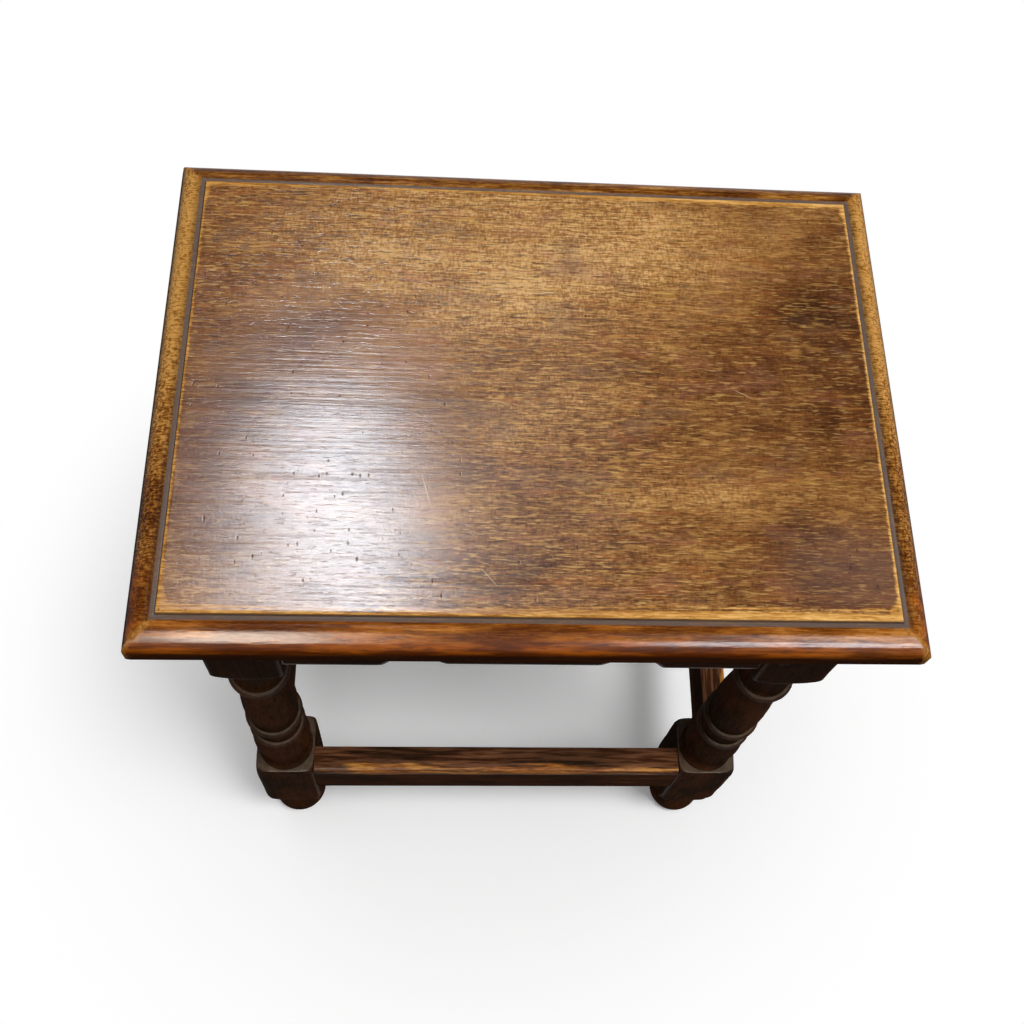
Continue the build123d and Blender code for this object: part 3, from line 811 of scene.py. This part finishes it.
def build_top(look):
    """The moulded board: a box whose upper face is stepped in and up through the whole moulding."""
    low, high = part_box("top_board")
    upright = high.z - look.crown_drop - look.thumb_rise
    bm = box_mesh(Vector((low.x, low.y, low.z + look.under_round)), Vector((high.x, high.y, upright)))
    upper = max(bm.faces, key=lambda face: face.calc_center_median().z)
    lower = min(bm.faces, key=lambda face: face.calc_center_median().z)
    under_steps = 6
    turns = [pi / 2 * step / under_steps for step in range(1, under_steps + 1)]
    rounding = [(look.under_round * (1 - cos(turn)), look.under_round * sin(turn)) for turn in turns]
    moulding = [(inset, height - upright) for inset, height in edge_profile(look, upright, high.z)]
    for face, steps in ((lower, rounding), (upper, moulding)):
        inset, rise = 0.0, 0.0
        for next_inset, next_rise in steps:
            bmesh.ops.inset_individual(
                bm,
                faces=[face],
                thickness=next_inset - inset,
                depth=next_rise - rise,
                use_even_offset=True,
            )
            inset, rise = next_inset, next_rise

    # Only the edges along a whole side are longer than this.
    short_of_side = 0.1
    for axis in (0, 1):
        split_edges(bm, long_edges(bm, axis, short_of_side), look.mesh_step)

    layer = bm.verts.layers.float.new("inset")
    half = (high - low) / 2
    for vert in bm.verts:
        vert[layer] = min(half.x - abs(vert.co.x), half.y - abs(vert.co.y))
    for vert in bm.verts:
        vert.co = worn_top_point(vert.co, vert[layer], look, half, high.z)
    facing_down = -0.9
    for face in bm.faces:
        face.material_index = 1 if face.normal.z < facing_down else 0
    bm.normal_update()
    return bm


def moulding_share(distance, look):
    """0 at the board's edge, 1 from the thumb's crown to the field, and 0 again well inside."""
    field_start = look.thumb_width + look.quirk_width
    rise = smooth_step(distance, 0.0, look.thumb_width)
    return rise * (1 - smooth_step(distance, field_start + 0.002, field_start + 0.04))


def worn_top_point(point, inset, look, half, field):
    """Where a point of the new board lies after the corners are rounded and the edges are worn."""
    moved = point.copy()
    # Rounded corners, as seen from above.
    radius = look.corner_radius
    over = Vector((abs(point.x) - half.x + radius, abs(point.y) - half.y + radius))
    if over.x > 0 and over.y > 0 and over.length > radius:
        pull = over * (1 - radius / over.length)
        moved.x -= pull.x if point.x > 0 else -pull.x
        moved.y -= pull.y if point.y > 0 else -pull.y
    # The outer edge wanders inwards.
    rim = 0.03
    outer = 1 - smooth_step(inset, 0.0, rim)
    wander = 0.5 + 0.5 * noise.noise(point * 14) + 0.12 * noise.noise(point * 70)
    pull = look.edge_wander * outer * max(0.0, wander)
    moved.x *= 1 - pull / half.x * (half.x - abs(point.x) < rim)
    moved.y *= 1 - pull / half.y * (half.y - abs(point.y) < rim)
    # The face of the board is not quite flat.
    face_depth, deepest_sink = 0.0145, 0.00022
    if point.z > field - face_depth:
        sink = 0.5 + 0.5 * noise.noise(point * 9 + Vector((4, 0, 0)))
        moved.z -= deepest_sink * max(0.0, sink)
    # The mouldings were run by hand, and those at the front and the left are wider.
    along = smooth_step(point.x, -half.x, half.x)
    gain = look.front_left_gain + (look.front_right_gain - look.front_left_gain) * along
    moved.y += gain * moulding_share(half.y + point.y, look)
    moved.x += look.left_gain * moulding_share(half.x + point.x, look)
    moved.x -= look.right_gain * moulding_share(half.x - point.x, look)
    # The board is not quite square.
    back = (half.y + point.y) / (2 * half.y)
    moved.x *= 1 - look.back_taper / half.x * back
    moved.y += look.corner_pull * (half.x + point.x) / (2 * half.x) * (1 - back)
    return moved


class JOINTSTOOL_OT_top(bpy.types.Operator):
    """Make the moulded top board and give it its finish"""

    bl_idname = "jointstool.top"
    bl_label = "Moulded Top"

    def execute(self, context):
        look = context.scene.stool_top
        low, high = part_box("top_board")
        finish = TopOak(look, (high.x - low.x, high.y - low.y, high.z)).finish()
        under = raw_oak("bare_oak_under_top", context.scene.stool_rails, False)
        finish_piece("moulded_top", build_top(look), [finish, under], ["top_board"])
        return {"FINISHED"}


# ---- Legs -------------------------------------------------------------------------------------
HOLLOW_LENGTH = 0.0006  # of the small hollow beside a ring, along the leg


def curve_run(start, start_lean, end_lean, end, steps):
    """A smooth run of a profile between two points. The leans are its handles, towards the other end."""
    first_handle = (start[0] + start_lean[0], start[1] + start_lean[1])
    last_handle = (end[0] - end_lean[0], end[1] - end_lean[1])
    points = [Vector((*pair, 0.0)) for pair in (start, first_handle, last_handle, end)]
    run = interpolate_bezier(*points, steps + 1)
    return [(point.x, point.y) for point in run[1:]]


def straight_run(start, end, step):
    """Evenly spaced points from one point of a profile to another."""
    count = max(1, round(hypot(end[0] - start[0], end[1] - start[1]) / step))
    shares = [index / count for index in range(1, count + 1)]
    return [(start[0] + (end[0] - start[0]) * s, start[1] + (end[1] - start[1]) * s) for s in shares]


def bead(radius, look, height):
    """A ring round the leg: a half round between two small hollows."""
    half = look.ring_height / 2
    hollow, brink, lip = 0.0004, 0.0002, 0.0005
    steps = 10
    points = [(radius - hollow, height - half - HOLLOW_LENGTH), (radius - brink, height - half)]
    for step in range(1, steps):
        turn = pi * step / steps
        out = radius + lip + (look.ring_stand - lip) * sin(turn)
        points.append((out, height - half * cos(turn)))
    return points + [(radius - brink, height + half), (radius - hollow, height + half + HOLLOW_LENGTH)]


def leg_profile(look, square, top):
    """Half outline of the lathe work as (radius, height), clear of the square blank at both blocks."""
    clear = square / 2 * 2**0.5 + look.clearance
    foot_shoulder = look.foot_height - look.shoulder
    neck_start = foot_shoulder - 0.006
    top_shoulder = look.top_block_foot - look.shoulder
    collar_start = top_shoulder - 0.007
    half_ring = look.ring_height / 2 + HOLLOW_LENGTH
    fine, coarse = 0.0008, 0.0022

    def run_to(point, step):
        points.extend(straight_run(points[-1], point, step))

    def curve_to(start_lean, end_lean, point, steps):
        points.extend(curve_run(points[-1], start_lean, end_lean, point, steps))

    # The foot.
    points = [(0.0, 0.0)]
    run_to((look.sole - 0.001, 0.0), 0.004)
    curve_to((0.0006, 0.0), (0.0003, 0.0006), (look.sole + 0.0003, 0.0009), 3)
    curve_to((0.0026, 0.0052), (0.0, 0.008), (look.bulb, look.bulb_height), 9)
    curve_to((0.0, 0.009), (0.0, 0.010), (look.foot_neck, neck_start), 14)
    run_to((look.foot_neck, foot_shoulder), 0.0015)
    # The lower block.
    curve_to((0.008, 0.0), (0.0035, 0.0035), (clear, look.foot_height + look.clearance), 22)
    run_to((clear, look.lower_block_top - 0.012), coarse)
    run_to((clear, look.lower_block_top - look.block_round), fine)
    curve_to((-0.0045, 0.0030), (-0.0050, 0.0), (look.base + 0.0008, look.lower_block_top), 16)
    # The cup and the two lower rings.
    run_to((look.base, look.lower_block_top), 0.0010)
    run_to((look.base, look.lower_block_top + 0.003), 0.0010)
    curve_to((-0.0012, 0.0012), (0.0, 0.003), (look.cup_neck, look.lower_block_top + 0.010), 6)
    curve_to((0.0, 0.009), (0.0, 0.009), (look.cup, look.lower_block_top + 0.038), 14)
    curve_to((0.0, 0.011), (-0.0014, 0.009), (look.band, look.lower_ring - half_ring), 16)
    points.extend(bead(look.band, look, look.lower_ring))
    run_to((look.band, look.middle_ring - half_ring), coarse)
    points.extend(bead(look.band, look, look.middle_ring))
    # The column, the upper ring and the collar.
    curve_to((0.0006, 0.009), (0.0, 0.009), (look.swell, look.lower_block_top + 0.134), 12)
    curve_to((0.0, 0.022), (0.0, 0.024), (look.column_neck, look.upper_ring - half_ring), 26)
    points.extend(bead(look.band, look, look.upper_ring))
    run_to((look.top_neck, look.upper_ring + half_ring + HOLLOW_LENGTH), fine)
    curve_to((0.0, 0.016), (0.0, 0.012), (look.collar, collar_start), 16)
    run_to((look.collar, top_shoulder), 0.0015)
    # The top block.
    curve_to((0.008, 0.0), (0.0035, 0.0035), (clear, look.top_block_foot + look.clearance), 22)
    run_to((clear, look.top_block_foot + 0.009), fine)
    run_to((clear, top), coarse)
    run_to((0.0, top), 0.006)
    return points


def square_reach(turn, half, sharpness):
    """Distance from the axis to a square with rounded arrises, in one direction."""
    return half / (abs(cos(turn)) ** sharpness + abs(sin(turn)) ** sharpness) ** (1 / sharpness)


def softer_least(first, second, blend):
    """The lesser of two radii, with the meeting line rounded off."""
    least = min(first, second)
    return least - blend * log(exp((least - first) / blend) + exp((least - second) / blend))


def build_leg(look, low, high, seed):
    """A turned leg: the lathe profile is spun, then cut back to the square blank at both blocks."""
    square = high.x - low.x
    centre = Vector(((low.x + high.x) / 2, (low.y + high.y) / 2, 0.0))
    bm = bmesh.new()
    verts = [bm.verts.new(centre + Vector((r, 0.0, z))) for r, z in leg_profile(look, square, high.z)]
    edges = [bm.edges.new(pair) for pair in zip(verts, verts[1:])]
    bmesh.ops.spin(
        bm,
        geom=verts + edges,
        cent=centre,
        axis=(0, 0, 1),
        dvec=(0, 0, 0),
        angle=2 * pi,
        steps=look.lathe_steps,
        use_merge=True,
    )
    bmesh.ops.remove_doubles(bm, verts=bm.verts, dist=TINY)
    bmesh.ops.recalc_face_normals(bm, faces=bm.faces)
    new_sharpness, knock_spread, end_softening, end_reach = 26, 9, 17, 0.014
    meeting_round, wobble_depth = 0.00035, 0.00012
    for vert in bm.verts:
        away = vert.co - centre
        turn, radius = atan2(away.y, away.x), hypot(away.x, away.y)
        if radius < TINY:
            continue
        # Arrises are rounder near the ends of the lower block and where hands and feet knock them.
        end = min(abs(vert.co.z - look.lower_block_top), abs(vert.co.z - look.foot_height))
        knocks = noise.noise(Vector((vert.co.z * 38, round(turn / (pi / 2)) + seed, 2.0)))
        softening = end_softening * (1 - smooth_step(end, 0.0, end_reach))
        limit = square_reach(turn, square / 2, new_sharpness + knock_spread * knocks - softening)
        wobble = wobble_depth * noise.noise(vert.co * 45 + Vector((seed, 0, 0)))
        new_radius = softer_least(radius, limit, meeting_round) + min(0.0, wobble)
        vert.co.x = centre.x + cos(turn) * new_radius
        vert.co.y = centre.y + sin(turn) * new_radius
    store_grain(bm, Vector((0, 0, 1)), Vector((seed * 0.37, seed * 0.11, seed * 0.23)))
    arris_bend = 900.0
    store_curve_wear(bm, arris_bend)
    return bm


class JOINTSTOOL_OT_legs(bpy.types.Operator):
    """Turn the four legs and stain them"""

    bl_idname = "jointstool.legs"
    bl_label = "Turned Legs"

    def execute(self, context):
        look = context.scene.stool_legs
        finish = dark_oak("stained_leg_oak", look)
        for seed, corner in enumerate(CORNERS):
            low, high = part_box(f"leg_{corner}")
            bm = build_leg(look, low, high, seed)
            finish_piece(f"turned_leg_{corner}", bm, [finish], [f"leg_{corner}"])
        return {"FINISHED"}


# ---- Aprons and stretchers --------------------------------------------------------------------
def turn_to_side(bm, side):
    """Turn a rail built along X, with its outer face towards -Y, to its side. Gives its new direction."""
    turn = Matrix.Rotation(radians({"front": 0, "right": 90, "back": 180, "left": 270}[side]), 3, "Z")
    bmesh.ops.rotate(bm, cent=(0, 0, 0), matrix=turn, verts=bm.verts)
    return turn @ Vector((1, 0, 0))


def rail_sizes(node, side, tenon):
    """Half length between shoulders, distance of the outer face, thickness, foot and top of a rail."""
    low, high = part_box(node)
    long_rail = side in LONG_SIDES
    half = (high.x if long_rail else high.y) - tenon
    ends = (low.y, high.y) if long_rail else (low.x, high.x)
    outer = max(abs(end) for end in ends)
    return half, outer, ends[1] - ends[0], low.z, high.z


def apron_edge(half, bracket, drop, rails, foot):
    """Lower outline of an apron from its left shoulder to its right one, as (x, z)."""
    arch = foot + rails.arch_rise
    hang = arch - rails.centre_drop
    lean = (rails.ogee * 0.45, 0.0)
    steps = 8
    right = [(drop / 2, hang)]
    right += curve_run(right[-1], lean, lean, (drop / 2 + rails.ogee, arch), steps)
    right.append((half - bracket - rails.ogee, arch))
    right += curve_run(right[-1], lean, lean, (half - bracket, foot), steps)
    right.append((half, foot))
    left = [(-x, z) for x, z in reversed(right)]
    return left + right


def build_apron(side, rails, seed):
    """A shaped apron between two legs, with softened lower edges."""
    half, outer, thickness, foot, top = rail_sizes(f"apron_{side}", side, rails.tenon)
    long_rail = side in LONG_SIDES
    bracket = rails.bracket_front if long_rail else rails.bracket_side
    drop = rails.drop_front if long_rail else rails.drop_side
    outline = apron_edge(half, bracket, drop, rails, foot) + [(half, top), (-half, top)]
    bm = bmesh.new()
    layer = bm.verts.layers.float.new("wear")
    face = bm.faces.new([bm.verts.new((x, -outer, z)) for x, z in outline])
    made = bmesh.ops.extrude_face_region(bm, geom=[face])["geom"]
    back = [item for item in made if isinstance(item, bmesh.types.BMVert)]
    bmesh.ops.translate(bm, vec=(0, thickness, 0), verts=back)
    bmesh.ops.recalc_face_normals(bm, faces=bm.faces)
    # Only the shaped edges are softened, not the shoulders or the top.
    shaped = [edge for edge in bm.edges if is_shaped(edge, top)]
    edge_wear = 0.75
    for face in soften(bm, shaped, rails.arris, 3):
        for vert in face.verts:
            vert[layer] = edge_wear
    # The wear fades out over a narrow rim of the two broad faces.
    worn_rim, least_area = 0.0022, 0.002
    upright = [face for face in bm.faces if abs(face.normal.y) > 0.99]
    for face in [face for face in upright if face.calc_area() > least_area]:
        bmesh.ops.inset_individual(bm, faces=[face], thickness=worn_rim, use_even_offset=True)
        for vert in face.verts:
            vert[layer] = 0.0
        face.material_index = 1 if face.normal.y > 0 else 0
    along = turn_to_side(bm, side)
    store_grain(bm, along, Vector((0.4 + seed * 0.31, seed * 0.17, 0.2)))
    bm.normal_update()
    return bm


def is_shaped(edge, top):
    """True for a lengthwise edge of the lower outline."""
    first, second = (vert.co for vert in edge.verts)
    along_face = abs(first.y - second.y) < TINY
    below_top = min(first.z, second.z) < top - 0.001
    return along_face and below_top and abs(first.x - second.x) > TINY


def build_stretcher(side, rails, seed):
    """A low rail, worn along its upper outer edge by feet."""
    half, outer, thickness, foot, top = rail_sizes(f"stretcher_{side}", side, rails.low_tenon)
    bm = box_mesh(Vector((-half, -outer, foot)), Vector((half, thickness - outer, top)))
    lengthwise = long_edges(bm, 0, half)
    worn_edge = min(lengthwise, key=lambda edge: edge.verts[0].co.y - edge.verts[0].co.z)
    plain = [edge for edge in lengthwise if edge is not worn_edge]
    soften(bm, [worn_edge], rails.worn_radius, 7)
    soften(bm, [edge for edge in plain if edge.is_valid], rails.arris, 3)
    # Lengthwise lines beside the worn edge, on the outer face and on the upper one.
    for depth in (0.006, 0.009, 0.013):
        cuts = (((0, -outer, top - depth), (0, 0, 1)), ((0, depth - outer, top), (0, 1, 0)))
        for through, facing in cuts:
            everything = bm.verts[:] + bm.edges[:] + bm.faces[:]
            bmesh.ops.bisect_plane(bm, geom=everything, dist=TINY, plane_co=through, plane_no=facing)
    mesh_step = 0.004
    split_edges(bm, long_edges(bm, 0, half), mesh_step)
    bm.normal_update()
    bm.verts.layers.float.new("wear")
    bm.verts.layers.float.new("tread")
    layer, tread_layer = bm.verts.layers.float["wear"], bm.verts.layers.float["tread"]
    # The front rail is the most trodden. The wear comes and goes along a rail, and fades at its ends.
    trodden = {"front": 1.0, "back": 0.7, "left": 0.7, "right": 0.55}[side]
    least_rub, more_rub, inward_share = 0.35, 0.75, 0.55
    for vert in bm.verts:
        reach = hypot(vert.co.y + outer, top - vert.co.z)
        near = 1 - smooth_step(reach, 0.0040, 0.0105)
        tread = 0.55 + 0.6 * noise.noise(Vector((vert.co.x * 16 + seed * 5, 0.3, 0.0)))
        ends = smooth_step(half - abs(vert.co.x), 0.002, 0.05)
        rub = least_rub + more_rub * ends * tread
        vert[layer] = max(0.0, min(1.0, near * trodden * rub))
        vert[tread_layer] = smooth_step(vert.co.z, top - 0.003, top)
        sink = rails.worn_depth * near * ends * max(0.0, tread)
        vert.co += Vector((0.0, inward_share * sink, -sink))
    along = turn_to_side(bm, side)
    store_grain(bm, along, Vector((0.9 + seed * 0.29, 0.5 + seed * 0.13, 0.1)))
    return bm


class JOINTSTOOL_OT_rails(bpy.types.Operator):
    """Make the four shaped aprons and the four worn stretchers"""

    bl_idname = "jointstool.rails"
    bl_label = "Aprons and Stretchers"

    def execute(self, context):
        legs = context.scene.stool_legs
        rails = context.scene.stool_rails
        apron_finish = dark_oak("stained_apron_oak", legs)
        inside = raw_oak("bare_oak_inside", rails, True)
        stretcher_finish = stretcher_oak(legs)
        for seed, side in enumerate(SIDES):
            apron = build_apron(side, rails, seed)
            name = f"shaped_apron_{side}"
            finish_piece(name, apron, [apron_finish, inside], [f"apron_{side}"])
            low_rail = build_stretcher(side, rails, seed)
            name = f"worn_stretcher_{side}"
            finish_piece(name, low_rail, [stretcher_finish], [f"stretcher_{side}"])
        return {"FINISHED"}


class JOINTSTOOL_OT_fixings(bpy.types.Operator):
    """Give the pegs, glue blocks and pocket screws their finishes"""

    bl_idname = "jointstool.fixings"
    bl_label = "Pegs, Blocks and Screws"

    def execute(self, context):
        pegs = peg_oak(context.scene.stool_legs)
        blocks = raw_oak("bare_block_oak", context.scene.stool_rails, False)
        for side in SIDES:
            dress_node(f"apron_pegs_{side}", pegs)
            dress_node(f"stretcher_pegs_{side}", pegs)
        for name in (*CORNERS, "left", "right"):
            dress_node(f"glue_block_{name}", blocks)
        dress_node("top_screws", rusty_steel())
        return {"FINISHED"}


# ---- Stage ------------------------------------------------------------------------------------
def path_share(shade):
    """1 for rays that show the background itself: from the camera, in gloss and through glass."""
    path = shade.node("ShaderNodeLightPath").outputs
    share = path["Is Camera Ray"]
    for name in ("Is Glossy Ray", "Is Transmission Ray"):
        share = shade.math("MAXIMUM", share, path[name])
    return share


def shown_or_lit(shade, lit, shown):
    """One shader for the light thrown on the stool, and another one for what shows itself."""
    inputs = [(0, path_share(shade)), (1, lit), (2, shown)]
    return shade.node("ShaderNodeMixShader", inputs).outputs[0]


def floor_finish(stage):
    """A plain pale floor that keeps the stool's shadow and turns to pure white further out."""
    shade = Shade(bpy.data.materials.new("pale_floor"))
    bounce = (stage.floor_bounce,) * 3 + (1.0,)
    plain = shade.node("ShaderNodeBsdfDiffuse", [("Color", bounce)]).outputs[0]
    away = shade.vector_math("LENGTH", shade.coordinates(), output="Value")
    far = shade.band(away, stage.sweep_start, stage.sweep_end)
    grey = shade.mix(far, (stage.floor_grey,) * 3, (0.0,) * 3)
    shadowed = shade.node("ShaderNodeBsdfDiffuse", [("Color", grey)]).outputs[0]
    lift = shade.mix(far, (stage.floor_lift,) * 3, (1.0,) * 3)
    glow = shade.node("ShaderNodeEmission", [("Color", lift), ("Strength", 1.0)]).outputs[0]
    lifted = shade.node("ShaderNodeAddShader", [(0, shadowed), (1, glow)]).outputs[0]
    mixed = shown_or_lit(shade, plain, lifted)
    shade.node("ShaderNodeOutputMaterial", [("Surface", mixed)])
    return shade.owner


def build_world(stage):
    """A white studio with a darker ceiling. Its fill light on the stool is an even grey."""
    world = bpy.data.worlds.new("studio")
    bpy.context.scene.world = world
    shade = Shade(world)
    white = (1, 1, 1, 1)
    direction = shade.node("ShaderNodeTexCoord").outputs["Generated"]
    studio = shade.band(shade.axis(direction, "Z"), 0.25, 0.7, 1.0, stage.ceiling)
    shown = shade.node("ShaderNodeBackground", [("Color", white), ("Strength", studio)]).outputs[0]
    fill = shade.node("ShaderNodeBackground", [("Color", white), ("Strength", stage.fill)]).outputs[0]
    mixed = shown_or_lit(shade, fill, shown)
    shade.node("ShaderNodeOutputWorld", [("Surface", mixed)])


def add_lamp(name, spot, target, width, depth, watts, turn=0.0, gloss=None):
    """A soft rectangular lamp. With a gloss tint it only shows in the wax, and else it only sheds light."""
    data = bpy.data.lights.new(name, "AREA")
    data.shape = "RECTANGLE"
    data.size, data.size_y = width, depth
    data.energy = watts
    data.color = gloss or (1.0, 1.0, 1.0)
    lamp = add_object(name, data)
    aim = (Vector(target) - Vector(spot)).to_track_quat("-Z", "Y").to_matrix().to_4x4()
    lamp.matrix_world = Matrix.Translation(Vector(spot)) @ aim @ Matrix.Rotation(radians(turn), 4, "Z")
    lamp.visible_camera = False
    lamp.visible_diffuse = gloss is None
    lamp.visible_glossy = gloss is not None


def add_camera(stage):
    """The camera, set by its place, three angles and the lens in pixels."""
    flat = cos(stage.pitch)
    ahead = Vector((sin(stage.yaw) * flat, cos(stage.yaw) * flat, -sin(stage.pitch)))
    level = Vector((cos(stage.yaw), -sin(stage.yaw), 0.0))
    down = ahead.cross(level)
    side = cos(stage.roll) * level + sin(stage.roll) * down
    under = -sin(stage.roll) * level + cos(stage.roll) * down
    data = bpy.data.cameras.new("camera")
    data.sensor_width = 36.0
    data.lens = stage.focal_px / stage.picture_px * data.sensor_width
    data.shift_x = (stage.picture_px / 2 - stage.centre_px[0]) / stage.picture_px
    data.shift_y = (stage.centre_px[1] - stage.picture_px / 2) / stage.picture_px
    data.clip_start, data.clip_end = 0.01, 100.0
    camera = add_object("camera", data)
    turn = Matrix((side, -under, -ahead)).transposed()
    camera.matrix_world = Matrix.Translation(Vector(stage.camera_place)) @ turn.to_4x4()
    bpy.context.scene.camera = camera


class JOINTSTOOL_OT_stage(bpy.types.Operator):
    """Set the floor, the lamps, the world and the camera"""

    bl_idname = "jointstool.stage"
    bl_label = "Stage"

    def execute(self, context):
        stage = context.scene.stool_stage
        half_floor = 6.0
        bm = bmesh.new()
        bmesh.ops.create_grid(bm, x_segments=1, y_segments=1, size=half_floor)
        mesh = bpy.data.meshes.new("floor")
        bm.to_mesh(mesh)
        bm.free()
        mesh.materials.append(floor_finish(stage))
        floor = add_object("floor", mesh)
        build_world(stage)
        seat = (0.0, 0.0, 0.5)
        field = (-0.118, -0.062, 0.555)
        add_lamp("key_softbox", (1.0, -0.75, 3.6), seat, 1.1, 1.1, 80.0)
        add_lamp("fill_softbox", (-0.6, 0.3, 3.4), seat, 1.8, 1.8, 15.0)
        cool, warm = (0.84, 0.92, 1.0), (1.0, 0.89, 0.75)
        add_lamp("back_panel", (-0.230, 0.700, 2.5), field, 0.22, 0.60, 29.0, 3.0, cool)
        add_lamp("side_panel", (-0.410, 0.600, 2.5), field, 0.14, 0.50, 6.5, -24.0, cool)
        add_lamp("haze_panel", (-0.08, 0.85, 2.6), field, 0.85, 1.1, 5.5, 0.0, cool)
        left, right, far_right = (-0.40, -0.01, 0.69), (0.78, -0.16, 0.55), (0.95, -0.16, 0.55)
        add_lamp("front_panel", (-0.40, -1.20, 1.99), left, 0.28, 1.6, 62.0, 0.0, warm)
        add_lamp("low_panel", (0.78, -1.85, 1.9), right, 0.65, 0.80, 48.0, 0.0, cool)
        add_lamp("corner_panel", (0.95, -1.11, 2.5), far_right, 0.60, 1.5, 28.0, 0.0, cool)
        context.scene.view_settings.view_transform = "Standard"
        add_camera(stage)
        return {"FINISHED"}


# ---- Panel and start --------------------------------------------------------------------------
class JOINTSTOOL_PT_panel(bpy.types.Panel):
    """Lists the steps that dress the stool, with their settings"""

    bl_label = "Joint Stool"
    bl_idname = "JOINTSTOOL_PT_panel"
    bl_space_type = "VIEW_3D"
    bl_region_type = "UI"
    bl_category = "Joint Stool"

    def draw(self, context):
        column = self.layout.column()
        for operator, group in STEPS:
            column.operator(operator.bl_idname)
            if group:
                settings = getattr(context.scene, group)
                for name in settings.__annotations__:
                    column.prop(settings, name)


STEPS = (
    (JOINTSTOOL_OT_top, "stool_top"),
    (JOINTSTOOL_OT_legs, "stool_legs"),
    (JOINTSTOOL_OT_rails, "stool_rails"),
    (JOINTSTOOL_OT_fixings, None),
    (JOINTSTOOL_OT_stage, "stool_stage"),
)
SETTINGS = {
    "stool_top": StoolTopSettings,
    "stool_legs": StoolLegSettings,
    "stool_rails": StoolRailSettings,
    "stool_stage": StoolStageSettings,
}


def register():
    for name, group in SETTINGS.items():
        bpy.utils.register_class(group)
        setattr(bpy.types.Scene, name, PointerProperty(type=group))
    for operator, _ in STEPS:
        bpy.utils.register_class(operator)
    bpy.utils.register_class(JOINTSTOOL_PT_panel)


def unregister():
    bpy.utils.unregister_class(JOINTSTOOL_PT_panel)
    for operator, _ in reversed(STEPS):
        bpy.utils.unregister_class(operator)
    for name, group in reversed(SETTINGS.items()):
        delattr(bpy.types.Scene, name)
        bpy.utils.unregister_class(group)


def main():
    register()
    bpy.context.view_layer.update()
    bpy.ops.jointstool.top()
    bpy.ops.jointstool.legs()
    bpy.ops.jointstool.rails()
    bpy.ops.jointstool.fixings()
    bpy.ops.jointstool.stage()


if __name__ == "__main__":
    main()
